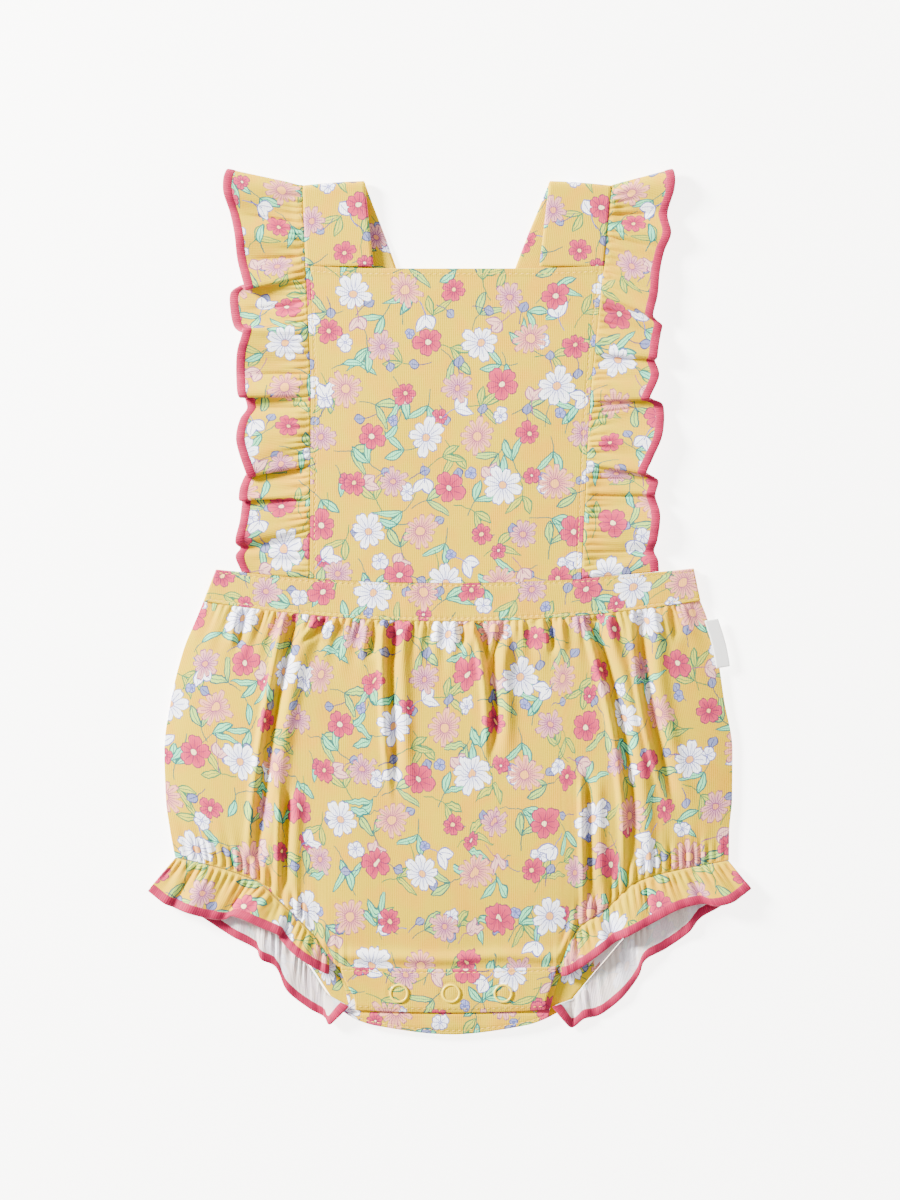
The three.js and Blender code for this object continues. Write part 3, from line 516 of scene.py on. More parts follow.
def clothShell(name, points, thickness, uv, materials, rimRound=0.55):
    # points: columns by rows, the middle of the cloth; the first material is the upper face
    columns, rowCount = points.shape[:2]
    along = np.gradient(points, axis=0)
    over = np.gradient(points, axis=1)
    normal = np.cross(over, along)
    normal /= np.linalg.norm(normal, axis=2, keepdims=True) + 1e-9
    upper = (points + normal * thickness / 2).reshape(-1, 3)
    lower = (points - normal * thickness / 2).reshape(-1, 3)
    index = np.arange(columns * rowCount).reshape(columns, rowCount)
    a, b = index[:-1, :-1].ravel(), index[:-1, 1:].ravel()
    c, d = index[1:, 1:].ravel(), index[1:, :-1].ravel()
    half = columns * rowCount
    border = np.concatenate([index[0, :-1], index[:-1, -1], index[-1, :0:-1], index[:0:-1, 0]])
    away = np.zeros_like(points)
    away[0] -= along[0] / (np.linalg.norm(along[0], axis=1, keepdims=True) + 1e-9)
    away[-1] += along[-1] / (np.linalg.norm(along[-1], axis=1, keepdims=True) + 1e-9)
    away[:, 0] -= over[:, 0] / (np.linalg.norm(over[:, 0], axis=1, keepdims=True) + 1e-9)
    away[:, -1] += over[:, -1] / (np.linalg.norm(over[:, -1], axis=1, keepdims=True) + 1e-9)
    outward = away.reshape(-1, 3)[border]
    outward /= np.linalg.norm(outward, axis=1, keepdims=True) + 1e-9
    rim = points.reshape(-1, 3)[border] + outward * thickness * 0.5 * rimRound
    rimIndex = 2 * half + np.arange(len(border))
    nextRim = np.roll(rimIndex, -1)
    nextBorder = np.roll(border, -1)
    quads = np.concatenate([
        np.stack([a, b, c, d], axis=1),
        np.stack([a, d, c, b], axis=1) + half,
        np.stack([rimIndex, nextRim, nextBorder, border], axis=1),
        np.stack([border + half, nextBorder + half, nextRim, rimIndex], axis=1),
    ])
    faces = len(a)
    materialIndex = np.zeros(len(quads))
    materialIndex[faces:2 * faces] = 1
    allPoints = np.concatenate([upper, lower, rim])
    flatUv = uv.reshape(-1, 2)
    allUv = np.concatenate([flatUv, flatUv, flatUv[border]])
    return makeMesh(name, allPoints, quads, materialIndex, allUv, materials)


def arcLengths(points, axis):
    steps = np.linalg.norm(np.diff(points, axis=axis), axis=2)
    padding = [(1, 0), (0, 0)] if axis == 0 else [(0, 0), (1, 0)]
    return np.cumsum(np.pad(steps, padding), axis=axis)


def flatMap(points, shift=(0, 0), threadRow=None):
    # the cloth unrolled: lengths along the rows and columns of the sheet; where it is gathered, one row
    # gives the widths, because the threads run straight on through the gathers
    u = arcLengths(points, 0)
    if threadRow is not None:
        u = np.repeat(u[:, threadRow:threadRow + 1], points.shape[1], axis=1)
    v = -arcLengths(points, 1)
    u -= u[u.shape[0] // 2]
    return np.stack([u + shift[0], v + shift[1]], axis=2)


def bunched(count, amount):
    # places from 0 to 1, closer together near both ends
    t = np.linspace(0, 1, count)
    return t - amount * np.sin(2 * np.pi * t) / (2 * np.pi)


def grid(columns, rowCount, bunchAcross=0.0, bunchDown=0.0):
    return np.meshgrid(bunched(columns, bunchAcross), bunched(rowCount, bunchDown), indexing="ij")


def clothArea(points):
    along = np.diff(points, axis=0)[:, :-1]
    over = np.diff(points, axis=1)[:-1]
    return np.linalg.norm(np.cross(along, over), axis=2).sum() * mm * mm


def finishCloth(piece, nodes):
    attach(piece, "root")
    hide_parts(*nodes)


def tubeQuads(count, around):
    index = np.arange(count * around).reshape(count, around)
    a, b = index[:-1], np.roll(index, -1, axis=1)[:-1]
    c, d = np.roll(index, -1, axis=1)[1:], index[1:]
    return np.stack([a.ravel(), b.ravel(), c.ravel(), d.ravel()], axis=1)


stitchValues = {"pitch": 2.9, "length": 2.2, "radius": 0.2, "lift": 0.12, "stations": 5, "around": 6}


def groove(distance, depth=0.22, width=0.5):
    # the thread pulls the cloth down along a row of stitches
    return depth * np.exp(-(distance / width) ** 2)


def addStitches(name, lines):
    # rows of short stitches, each a thread that arches over the cloth and dips into it at both ends
    v = stitchValues
    allPoints, allQuads, allUv, offset = [], [], [], 0
    along = np.linspace(-0.5, 0.5, v["stations"])
    angles = np.linspace(0, 2 * np.pi, v["around"], endpoint=False)
    caps = np.array([[0, 3, 2, 1], [0, 5, 4, 3]])
    last = (v["stations"] - 1) * v["around"]
    oneQuads = np.concatenate([tubeQuads(v["stations"], v["around"]), caps, caps[:, ::-1] + last])
    for line in lines:
        run = np.concatenate([[0], np.cumsum(np.linalg.norm(np.diff(line, axis=0), axis=1))])
        for middle in np.arange(v["pitch"] / 2, run[-1], v["pitch"]):
            places = middle + along * v["length"]
            centre = np.stack([np.interp(places, run, line[:, axis]) for axis in range(3)], axis=1)
            arch = 1 - (2 * along) ** 2
            centre[:, 2] += v["lift"] * (2 * arch - 1)
            heading = centre[-1] - centre[0]
            heading /= np.linalg.norm(heading)
            across = np.array([heading[1], -heading[0], 0])
            size = v["radius"] * (0.45 + 0.55 * arch)
            ring = centre[:, None] + size[:, None, None] * np.cos(angles)[None, :, None] * across
            ring[..., 2] += size[:, None] * np.sin(angles)[None]
            allPoints.append(ring.reshape(-1, 3))
            allQuads.append(oneQuads + offset)
            allUv.append(np.stack([np.repeat(places, v["around"]), np.tile(angles, v["stations"])], axis=1))
            offset += v["stations"] * v["around"]
    quads = np.concatenate(allQuads)
    piece = makeMesh(name, np.concatenate(allPoints), quads, np.zeros(len(quads)), np.concatenate(allUv),
                     [sewingThread])
    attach(piece, "root")
    print(name, offset // (v["stations"] * v["around"]), "stitches")


def stitchLine(sheet, across, down, lift):
    # a line over a sheet, lifted to the face of its cloth
    across, down = np.broadcast_arrays(np.asarray(across, float), np.asarray(down, float))
    line = sheet(across[:, None], down[:, None])[:, 0]
    line[:, 2] += lift
    return line


# Bib

bibValues = {
    "topY": 167, "dip": 1.6, "height": 4.55, "sag": 0.35, "thickness": 1.1,
    "hem": 3.4, "hemRise": 0.28, "topStitch": 2.5, "sideStitch": 2.3,
    "sides": rows("y left right", [(209, -73.5, 80.5), (167, -72, 76.7), (100, -69.5, 70), (9, -70, 65.5)]),
}
waistTop = {"middle": 8.5, "rise": 7.3, "left": -116.8, "right": 121.6}
waistFoot = {"middle": -10.5, "rise": 10.5}
waistHalfWidth = 125
bibLeft = readTable(bibValues["sides"], "y", "left")
bibRight = readTable(bibValues["sides"], "y", "right")


def waistTopY(x):
    return waistTop["middle"] + waistTop["rise"] * (x / waistHalfWidth) ** 2


def waistFootY(x):
    return waistFoot["middle"] + waistFoot["rise"] * (x / waistHalfWidth) ** 2


def bibSheet(across, down):
    dip = bibValues["dip"] * (1 - (2 * across - 1) ** 4)
    levelY = lerp(bibValues["topY"], waistTop["middle"], down)
    x = lerp(bibLeft(levelY), bibRight(levelY), across)
    top = bibValues["topY"] - dip
    y = lerp(top, waistTopY(x) + 0.1, down)
    sag = bibValues["sag"] * np.sin(np.pi * down) * np.sin(2 * np.pi * across) ** 2
    hem = bibValues["hemRise"] * (1 - ease(top - y, bibValues["hem"] - 0.6, bibValues["hem"] + 0.4))
    wave = 0.3 * smoothNoise(x + 0.5 * y, 26, 3) * smoothNoise(y - 0.3 * x, 31, 4)
    inside = np.minimum(x - bibLeft(levelY), bibRight(levelY) - x)
    stitched = groove(top - y - bibValues["topStitch"]) + groove(inside - bibValues["sideStitch"])
    return np.stack([x, y, bibValues["height"] + sag + hem + wave - stitched], axis=2)


points = bibSheet(*grid(150, 150, 0.85, 0.85))
bib = clothShell("bibCloth", points, bibValues["thickness"], flatMap(points), [cottonKnit, cottonKnit])
print("bib", round(clothArea(points), 5))
finishCloth(bib, ["bib_front"])
bibFace = bibValues["thickness"] / 2
bibInset = bibValues["sideStitch"] / 145
even = np.linspace(0, 1, 300)
addStitches("bibTopstitch", [
    stitchLine(bibSheet, 0.016 + 0.968 * even, bibValues["topStitch"] / 158, bibFace),
    stitchLine(bibSheet, bibInset, 0.02 + 0.96 * even, bibFace),
    stitchLine(bibSheet, 1 - bibInset, 0.02 + 0.96 * even, bibFace),
])

# Straps: up from the bib, over the shoulder and down behind to the far side of the waist

strapValues = {
    "thickness": 1.4, "backHeight": 0.8, "overHeight": 2.7, "frontHeight": 4.8, "widthAtBack": 32,
    "shoulderY": 209, "tilt": 2.2, "lean": {"left": 0.352, "right": 0.38}, "crossing": (135, 96),
    "innerEdges": rows("y left right", [(209, -43, 50), (167, -38.6, 45)]),
}
strapInner = {side: readTable(strapValues["innerEdges"], "y", side) for side in ("left", "right")}
bibSide = {"left": bibLeft, "right": bibRight}
towardsMiddle = {"left": 1, "right": -1}


def strapSheet(side, across, down):
    v = strapValues
    shoulderY = v["shoulderY"]
    foldRadius = (v["frontHeight"] - v["backHeight"]) / 2
    frontRun = shoulderY - bibValues["topY"] - seamGap - foldRadius
    foldLength = math.pi * foldRadius
    foldY = shoulderY - foldRadius
    foot = waistTopY(0) + seamGap
    backLength = foldY - foot
    run = down * (frontRun + foldLength + backLength)
    outerX, innerX = bibSide[side], strapInner[side]
    frontY = bibValues["topY"] + run
    front = np.stack([lerp(outerX(frontY), innerX(frontY), across), frontY,
                      np.full_like(run, v["frontHeight"])], axis=2)
    turn = np.clip((run - frontRun) / foldLength, 0, 1)
    backRun = np.maximum(run - frontRun - foldLength, 0)
    y = foldY - backRun + foldRadius * np.sin(np.pi * turn)
    topCentre = (outerX(shoulderY) + innerX(shoulderY)) / 2
    centre = topCentre + towardsMiddle[side] * v["lean"][side] * (shoulderY - np.minimum(y, shoulderY))
    topWidth = innerX(shoulderY) - outerX(shoulderY)
    spread = lerp(topWidth, towardsMiddle[side] * v["widthAtBack"], ease(backRun, 0, 30))
    x = centre + spread * (across - 0.5)
    over = ease(-y, -v["crossing"][0], -v["crossing"][1]) if side == "right" else np.zeros_like(y)
    back = lerp(v["backHeight"], v["overHeight"], over)
    round_ = (v["frontHeight"] + back) / 2 + foldRadius * np.cos(np.pi * turn)
    z = np.where(turn < 1, round_, back)
    y = y + (waistTopY(x) - waistTopY(0)) * np.clip(1 - (y - foot) / 20, 0, 1)
    behind = np.stack([x, y, z], axis=2)
    points = np.where((run <= frontRun)[..., None], front, behind)
    # the outer corner of the shoulder sits a little lower, where the ruffle pulls on it
    points[..., 1] -= v["tilt"] * (1 - across) ** 1.5 * ease(points[..., 1], shoulderY - 14, shoulderY)
    return points


for side in ("left", "right"):
    across, down = grid(24, 200)
    if side == "right":
        across = 1 - across
    points = strapSheet(side, across, down)[:, ::-1]
    name = f"strap{side.capitalize()}Cloth"
    strap = clothShell(name, points, strapValues["thickness"], flatMap(points), [cottonKnit, cottonKnit])
    print(name, round(clothArea(points), 5))
    finishCloth(strap, [f"strap_{side}"])

# Waistband

waistValues = {"thickness": 1.8, "middle": 4.0, "side": 3.2, "backHeight": 0.8, "stitch": 1.4, "depth": 19}


def waistSheet(across, down, height):
    left = lerp(waistTop["left"], bloomerLeft(0.0), down)
    right = lerp(waistTop["right"], bloomerRight(0.0), down)
    x = lerp(left, right, across)
    y = lerp(waistTopY(x), waistFootY(x), down)
    z = height(np.abs(2 * across - 1))
    nearEdge = waistValues["depth"] * np.minimum(down, 1 - down)
    z = z - groove(nearEdge - waistValues["stitch"]) + 0.16 * smoothNoise(x, 7, 31) * np.sin(np.pi * down)
    pucker = 0.1 * np.sin(2 * np.pi * x / stitchValues["pitch"])
    return np.stack([x, y, z + pucker * np.exp(-((nearEdge - waistValues["stitch"]) / 1.2) ** 2)], axis=2)


bloomerSides = rows("y left right", [
    (2, -122, 124), (-10, -127, 128.8), (-25, -133.2, 133.2), (-50, -139.4, 137), (-75, -142.8, 141.2),
    (-100, -142, 141), (-115, -140, 139.6), (-130, -137.2, 139.4),
])
bloomerLeft = readTable(bloomerSides, "y", "left")
bloomerRight = readTable(bloomerSides, "y", "right")

frontBandHeight = lambda out: lerp(waistValues["middle"], waistValues["side"], out ** 4)
points = waistSheet(*grid(400, 32, 0, 0.6), frontBandHeight)
waistFront = clothShell("waistbandFrontCloth", points, waistValues["thickness"], flatMap(points, (40, 90)),
                        [cottonKnit, cottonKnit])
print("waistFront", round(clothArea(points), 5))
finishCloth(waistFront, ["waistband_front"])
waistFace = waistValues["thickness"] / 2
waistInset = waistValues["stitch"] / waistValues["depth"]
frontBand = lambda across, down: waistSheet(across, down, frontBandHeight)
addStitches("waistTopstitch", [
    stitchLine(frontBand, 0.006 + 0.988 * even, waistInset, waistFace),
    stitchLine(frontBand, 0.006 + 0.988 * even, 1 - waistInset, waistFace),
])
points = waistSheet(*grid(160, 12), lambda out: np.full_like(out, waistValues["backHeight"]))
waistBack = clothShell("waistbandBackCloth", points, 1.4, flatMap(points, (10, 50)), [cottonKnit, cottonKnit])
finishCloth(waistBack, ["waistband_back"])

# Bloomers

bloomerValues = {
    "thickness": 1.0, "seamHeight": 2.1, "hemHeight": 3.4, "crotchHeight": 4.2, "crotch": (45, 75),
    "waistGathers": {"pitch": 8.2, "height": 0.95, "length": 17},
    "legGathers": {"pitch": 7.6, "height": 0.7, "length": 15},
    "shirring": {"pitch": 3.6, "height": 1.15, "length": 11},
    "puckers": {"pitch": 3.5, "height": 0.62, "length": 8},
    "crotchFold": {"above": 6, "width": 2.6, "height": 1.7},
    "deepen": 1.45, "lips": 0.5, "steepSide": 2.3, "gentleSide": 1.0,
}
frontHem = rows("x y", [
    (-137.5, -128.5), (-116, -133.5), (-103.5, -137.5), (-94, -142), (-85.5, -150), (-68, -167.5),
    (-54.5, -183.5), (0, -184.7), (53, -183.5), (62.5, -165.5), (77.7, -154.5), (94, -140.5), (113, -135),
    (139.4, -130),
])
backHem = rows("x y", [
    (-138, -131), (-128, -137), (-113, -144), (-98, -155), (-85, -167), (-72, -181), (-52, -207.5),
    (-36, -213.3), (0, -217.5), (36, -213.3), (52, -207.5), (75, -183), (87, -169), (100, -156), (114, -145),
    (128, -138), (139.6, -133),
])
puff = rows("down z", [
    (0, 4.0), (0.05, 5.0), (0.14, 5.6), (0.35, 5.7), (0.62, 5.5), (0.84, 4.8), (0.94, 3.8), (1, 3.4),
])
troughs = rows("fromX fromY midX toX toY depth width", [
    (-79.5, -10, -91, -97.5, -126, 3.5, 4), (-104.5, -6, -105.5, -106, -22, 2.2, 3.2),
    (-64, -10, -68, -72, -20, 1.8, 3), (-39.5, -10, -40, -41, -27, 2, 3), (-30.5, -10, -30.5, -28, -88, 3, 3.6),
    (4.5, -10, 5.5, 6, -22, 1.8, 3), (14, -10, 20, 21, -72, 3.2, 3.6), (26, -10, 23, 20.5, -36, 2.2, 3),
    (49.5, -9, 50.5, 51, -25, 1.8, 3), (69, -8, 85, 90, -130, 3.6, 4), (94, -5, 98, 109.5, -95, 3.2, 4),
    (109.5, -3, 111, 112.5, -19, 1.8, 3), (-82.5, -102, -83.5, -83.5, -146, 2.6, 3),
    (68, -96, 68.5, 69, -152, 2.4, 3),
])
frontHemY = readTable(frontHem, "x", "y")
backHemY = readTable(backHem, "x", "y")
puffZ = readTable(puff, "down", "z")


def nearCrotch(x):
    return 1 - ease(np.abs(x), *bloomerValues["crotch"])


def troughDepth(x, y):
    depth = np.zeros_like(x)
    for row in troughs:
        t = (y - row["fromY"]) / (row["toY"] - row["fromY"])
        bow = 4 * (row["midX"] - (row["fromX"] + row["toX"]) / 2)
        line = lerp(row["fromX"], row["toX"], t) + bow * t * (1 - t)
        reach = (x - line) / row["width"]
        reach = reach * np.where(reach < 0, bloomerValues["steepSide"], bloomerValues["gentleSide"])
        fade = ease(t, -0.2, 0.05) * (1 - ease(t, 0.7, 1.2))
        lips = bloomerValues["lips"] * np.exp(-(np.abs(reach) - 2) ** 2)
        depth += row["depth"] * fade * (np.exp(-reach * reach) - lips)
    return depth


def frontPanelSheet(across, down):
    v = bloomerValues
    footX = lerp(frontHem[0]["x"], frontHem[-1]["x"], across)
    headX = lerp(bloomerLeft(0.0), bloomerRight(0.0), across)
    headY = waistFootY(headX) + 0.1
    footY = frontHemY(footX)
    y = lerp(headY, footY, down)
    x = lerp(bloomerLeft(y), bloomerRight(y), across)
    atSides = 1 - np.abs(2 * across - 1) ** 8
    atCrotch = nearCrotch(footX)
    below, above = headY - y, y - footY
    hump = ease(below, 0, 4)
    z = puffZ(down) + atCrotch * (v["crotchHeight"] - v["hemHeight"]) * down
    g = v["waistGathers"]
    wave = np.sin(2 * np.pi * headX / g["pitch"] + np.sin(headX / 13))
    z += g["height"] * wave * hump * np.exp(-(below / g["length"]) ** 2)
    g = v["legGathers"]
    wave = np.cos(2 * np.pi * footX / g["pitch"] + np.sin(footX / 17))
    z += g["height"] * wave * (1 - atCrotch) * ease(above, 0, 4) * np.exp(-(above / g["length"]) ** 2)
    z -= v["deepen"] * troughDepth(x, y) * hump * ease(above, 0, 14)
    g = v["puckers"]
    wave = np.sin(2 * np.pi * headX / g["pitch"] + 3 * smoothNoise(headX, 9, 11))
    z += g["height"] * wave * ease(below, 0, 1.2) * np.exp(-(below / g["length"]) ** 2)
    g = v["shirring"]
    hemRun = footX - 0.35 * footY * np.sign(footX)
    wave = np.sin(2 * np.pi * hemRun / g["pitch"] + 2 * smoothNoise(footX, 8, 12))
    z += g["height"] * wave * (1 - atCrotch) * ease(above, 0, 1.5) * np.exp(-(above / g["length"]) ** 4)
    g = v["crotchFold"]
    lift = np.exp(-((above - g["above"] - 2 * smoothNoise(x, 25, 13)) / g["width"]) ** 2)
    z += g["height"] * atCrotch * lift
    z += 0.8 * smoothNoise(x + 0.3 * y, 17, 14) * smoothNoise(y - 0.2 * x, 29, 15) * hump * ease(above, 0, 12)
    z = np.maximum(lerp(v["seamHeight"], z, atSides), v["seamHeight"])
    return np.stack([x, y, z], axis=2)


points = frontPanelSheet(*grid(560, 80, 0, 0.8))
bloomersFront = clothShell("bloomersFrontCloth", points, bloomerValues["thickness"], flatMap(points, (15, -30), 40),
                           [cottonKnit, knitReverse])
print("bloomersFront", round(clothArea(points), 5))
finishCloth(bloomersFront, ["bloomer_front"])


def backPanelSheet(across, down):
    footX = lerp(backHem[0]["x"], backHem[-1]["x"], across)
    headX = lerp(bloomerLeft(0.0), bloomerRight(0.0), across)
    headY = waistFootY(headX) + 0.1
    footY = backHemY(footX)
    y = lerp(headY, footY, down)
    x = lerp(bloomerLeft(y), bloomerRight(y), across)
    return np.stack([x, y, np.full_like(x, 0.6)], axis=2)


points = backPanelSheet(*grid(100, 90))
bloomersBack = clothShell("bloomersBackCloth", points, 1.0, flatMap(points, (70, 20)), [knitReverse, cottonKnit])
print("bloomersBack", round(clothArea(points), 5))
finishCloth(bloomersBack, ["bloomer_back"])
# beside the crotch band the printed facing of the back shows
for face in bloomersBack.data.polygons:
    if face.center.y < -181 * mm:
        face.material_index = 1

# Ruffles

leftRuffleTurns = rows("seam x y z", [
    (-70, -61, 136, 1), (-60, -77, 148, 1.7), (-49, -89, 161, 1), (-38, -98, 175, 1.8), (-26, -105, 189, 1),
    (-13, -109, 202, 1.6), (-4, -111.5, 211.5, 1.6), (0, -111.6, 215.2, 4), (3.5, -113, 211.5, 6.9),
    (9, -113.2, 204, 8.2), (19, -110, 193.5, 4.8), (28, -107.6, 182.5, 7.5), (36, -106.3, 170, 5.6),
    (45, -102.6, 155, 8), (49.2, -105, 157, 3.8), (54, -109.8, 154, 2), (60, -110, 145, 1.8),
    (65, -108, 136.6, 2.2), (68, -105, 134.2, 4.8), (72.5, -103.4, 135, 8.2), (77, -104.2, 131.6, 8),
    (84, -106.4, 124, 6.6), (94, -107, 112.5, 3.6), (105, -105.6, 101.6, 7.2), (107.5, -103.6, 102.2, 3),
    (112, -101.6, 96.4, 2.8), (117, -105, 90.4, 5), (125, -106.8, 80, 7.4), (139, -101.4, 61.6, 6.8),
    (141.5, -102.4, 62.6, 2.8), (149, -105.2, 55.6, 4.6), (155, -105.4, 50, 6.8),
    (157.5, -104.2, 50.4, 2.8), (164, -105, 40, 6), (171, -107.2, 28.7, 6.6), (178, -105, 26, 2.8),
    (187, -107.2, 22, 5), (196.6, -104.4, 14.2, 4),
])
rightRuffleTurns = rows("seam x y z", [
    (-70, 65, 136, 1), (-60, 80, 148, 1.7), (-49, 92, 161, 1), (-38, 99, 175, 1.8), (-26, 105, 189, 1),
    (-13, 109, 202, 1.6), (-4, 111, 211.5, 1.6), (0, 111.6, 215.2, 4), (3.5, 112.4, 211.5, 7),
    (8, 112, 205, 8), (15, 108.8, 193, 4.6), (21, 110.4, 183, 7.6), (26, 107.2, 174.4, 4.8),
    (36, 104.8, 163.6, 7), (45, 103.8, 152.6, 6.6), (52, 101.4, 142, 7.6), (56, 102.8, 140.4, 3.8),
    (61, 106.2, 137.6, 3), (66, 105.6, 133.6, 3.4), (73, 104.4, 128, 7.2), (83, 103.4, 121, 7.4),
    (86, 102.6, 120, 3), (94, 104.6, 112.6, 5.8), (106.8, 99.8, 100.8, 7.8), (110, 101.3, 100.5, 3.4),
    (115, 106.2, 98.4, 2.9), (119, 107.2, 94, 3.2), (127, 106, 82, 7), (134, 101.4, 71, 7.4),
    (138, 98, 63.2, 8), (141.5, 99.8, 62.6, 3.8), (146.5, 104.2, 60, 2.8), (152, 102.8, 53.6, 6),
    (155.5, 102.8, 51.6, 3.4), (164, 105, 43, 6), (175, 103.6, 30, 6.8), (184, 102.2, 24.4, 2.8),
    (191, 104, 20, 5), (196.6, 104.6, 14.4, 4),
])
frontLegTurns = {
    "left": rows("seam x y z", [
        (-137.3, -151, -145.4, 5), (-130.5, -142.6, -151.6, 7), (-127, -138.6, -153.4, 5.2),
        (-122, -133, -155.5, 8.2), (-112, -122.5, -158.6, 7), (-100, -113, -159.8, 5.2),
        (-95, -109.6, -157.8, 7.4), (-91, -104.5, -158.8, 8.6), (-86, -94, -163.6, 7.8),
        (-81, -86, -167, 8.4), (-78.5, -85, -169.4, 5.2), (-73, -78, -176.6, 8), (-65, -67, -184, 7.4),
        (-60, -60.8, -187, 5.6),
    ]),
    "right": rows("seam x y z", [
        (139.2, 150.5, -144.4, 5), (129, 141, -150.8, 8.2), (122, 132.4, -152.8, 7.4),
        (119, 127, -151.8, 5.2), (108, 114.5, -154.4, 8.2), (97, 100, -162, 6.4), (85, 89.5, -167.4, 8.2),
        (77.5, 83, -170.8, 5.6), (70, 74.5, -177, 8.2), (62.5, 65.5, -183.6, 5.6), (57.5, 59.4, -187, 6.6),
        (54.6, 56, -188, 5.4),
    ]),
}
backLegTurns = {
    "left": rows("seam x y z", [
        (-137.6, -144, -139.5, 1.0), (-130, -140, -149, 1.6), (-119, -124, -159, 1.0),
        (-109, -110, -168, 2.4), (-98, -96.5, -175.6, 1.4), (-93, -94.6, -179.8, 2.8),
        (-88, -87.6, -183.6, 1), (-79, -81.6, -195.6, 2.4), (-70, -70.6, -204.6, 1),
        (-62, -62.4, -209.4, 1.6), (-61.6, -60.4, -212.4, 3.2),
        (-61.3, -56.4, -209, 4.8), (-61, -50.5, -203, 4.6),
    ]),
    "right": rows("seam x y z", [
        (139.2, 143, -141, 1.0), (130, 137, -152, 1.6), (121, 125.4, -159.4, 1.0),
        (113, 119.4, -166.6, 2.4), (104, 108.4, -174.6, 1), (96, 97.6, -180.4, 2.8), (91, 94.2, -189, 1),
        (80, 85, -200.4, 2.2), (71, 74, -208.4, 1), (65, 67.4, -209.6, 2.6), (62, 61, -214.2, 1.6),
        (61.6, 57.2, -211, 4.2), (61.2, 51, -203.4, 4.6),
    ]),
}
ruffleValues = {
    "thickness": 0.9, "edgingWidth": 4.9, "edgingThickness": 1.5, "shoulderY": 207.5, "seamHeight": 4.7,
    "legSeamGap": 0.6, "threadPitch": 1.1, "step": 0.66,
    "gathers": {"pitch": 3.3, "height": 0.72, "length": 9},
    "creases": {"pitch": 4.6, "height": 0.95, "length": 26},
    "valleys": {"width": 0.9, "depth": 1.1, "from": 0.04, "full": 0.2, "fade": 0.5, "to": 0.92},
}


def edgeCurve(turns, place):
    # a centripetal Catmull-Rom curve through the turning points
    p = np.array([[turn["x"], turn["y"], turn["z"]] for turn in turns], float)
    p = np.vstack([2 * p[0] - p[1], p, 2 * p[-1] - p[-2]])
    chord = np.maximum(np.linalg.norm(np.diff(p, axis=0), axis=1) ** 0.5, 1e-4)
    last = len(turns) - 1
    at = np.minimum(place * last, last - 1e-9)
    i = np.floor(at).astype(int)
    w = (at - i)[:, None]
    d0, d1, d2 = (chord[i + k][:, None] for k in (0, 1, 2))
    p0, p1, p2, p3 = (p[i + k] for k in (0, 1, 2, 3))
    t1 = ((p1 - p0) / d0 - (p2 - p0) / (d0 + d1) + (p2 - p1) / d1) * d1
    t2 = ((p2 - p1) / d1 - (p3 - p1) / (d1 + d2) + (p3 - p2) / d2) * d1
    square = -3 * p1 + 3 * p2 - 2 * t1 - t2
    cube = 2 * p1 - 2 * p2 + t1 + t2
    return p1 + t1 * w + square * w ** 2 + cube * w ** 3


def seamPlace(turns, place):
    seams = np.array([turn["seam"] for turn in turns], float)
    return np.interp(place * (len(turns) - 1), np.arange(len(turns)), seams)


def evenPlaces(turns, step):
    fine = np.linspace(0, 1, 4000)
    curve = edgeCurve(turns, fine)
    run = np.concatenate([[0], np.cumsum(np.linalg.norm(np.diff(curve, axis=0), axis=1))])
    count = int(run[-1] / step) + 1
    arcs = np.linspace(0, run[-1], count)
    return np.interp(arcs, run, fine), arcs


def valleyDepth(turns, seam, reach, v):
    # a sharp crease from near the seam towards each place where the free edge dips
    depth = np.zeros(len(seam))
    for before, turn, after in zip(turns, turns[1:], turns[2:]):
        if turn["z"] < min(before["z"], after["z"]):
            depth += np.exp(-((seam - turn["seam"]) / v["width"]) ** 2)
    window = ease(reach, v["from"], v["full"]) * (1 - ease(reach, v["fade"], v["to"]))
    return v["depth"] * np.minimum(depth, 1)[:, None] * window


def ruffleSheet(seamAt, turns, place, arcs, reachOf, values):
    # straight from the seam out to the free edge, then gathered, puffed and fluted
    seam = seamPlace(turns, place)
    start = seamAt(seam)
    end = edgeCurve(turns, place)
    span = np.linalg.norm(end - start, axis=1)
    reach = reachOf(span)
    points = start[:, None] + (end - start)[:, None] * reach[..., None]
    points[..., 2] = lerp(start[:, None, 2], end[:, None, 2], np.clip(reach, 0, 1) ** 0.7)
    distance = reach * span[:, None]
    g = values["gathers"]
    wave = np.sin(2 * np.pi * seam / g["pitch"] + 2.5 * smoothNoise(seam, 7, 21))[:, None]
    points[..., 2] += g["height"] * wave * ease(distance, 0.2, 2.5) * np.exp(-(distance / g["length"]) ** 2)
    g = values["creases"]
    wave = smoothNoise(seam, g["pitch"], 23)[:, None]
    points[..., 2] += g["height"] * wave * ease(distance, 1, 7) * np.exp(-(distance / g["length"]) ** 4)
    points[..., 2] -= valleyDepth(turns, seam, reach, values["valleys"])
    flute = smoothNoise(arcs, 5.2, 22)[:, None]
    points[..., 2] += 0.35 * flute * np.clip(reach, 0, 1) ** 2
    points[..., 2] = np.maximum(points[..., 2], 0.62)
    return points, distance, seam, span


def shoulderSeam(side):
    def place(seam):
        y = ruffleValues["shoulderY"] - np.abs(seam)
        behind = np.maximum(-seam, 0)
        frontX = bibSide[side](y) - towardsMiddle[side] * seamGap
        backX = bibSide[side](209.0) + towardsMiddle[side] * (strapValues["lean"][side] * (behind + 1.5) - 1.1)
        x = np.where(seam < 0, backX, frontX)
        turn = np.clip(seam / 4, -1, 1)
        middle = (ruffleValues["seamHeight"] + strapValues["backHeight"]) / 2
        reach = (ruffleValues["seamHeight"] - strapValues["backHeight"]) / 2
        return np.stack([x, y, middle + reach * np.sin(np.pi / 2 * turn)], axis=1)
    return place


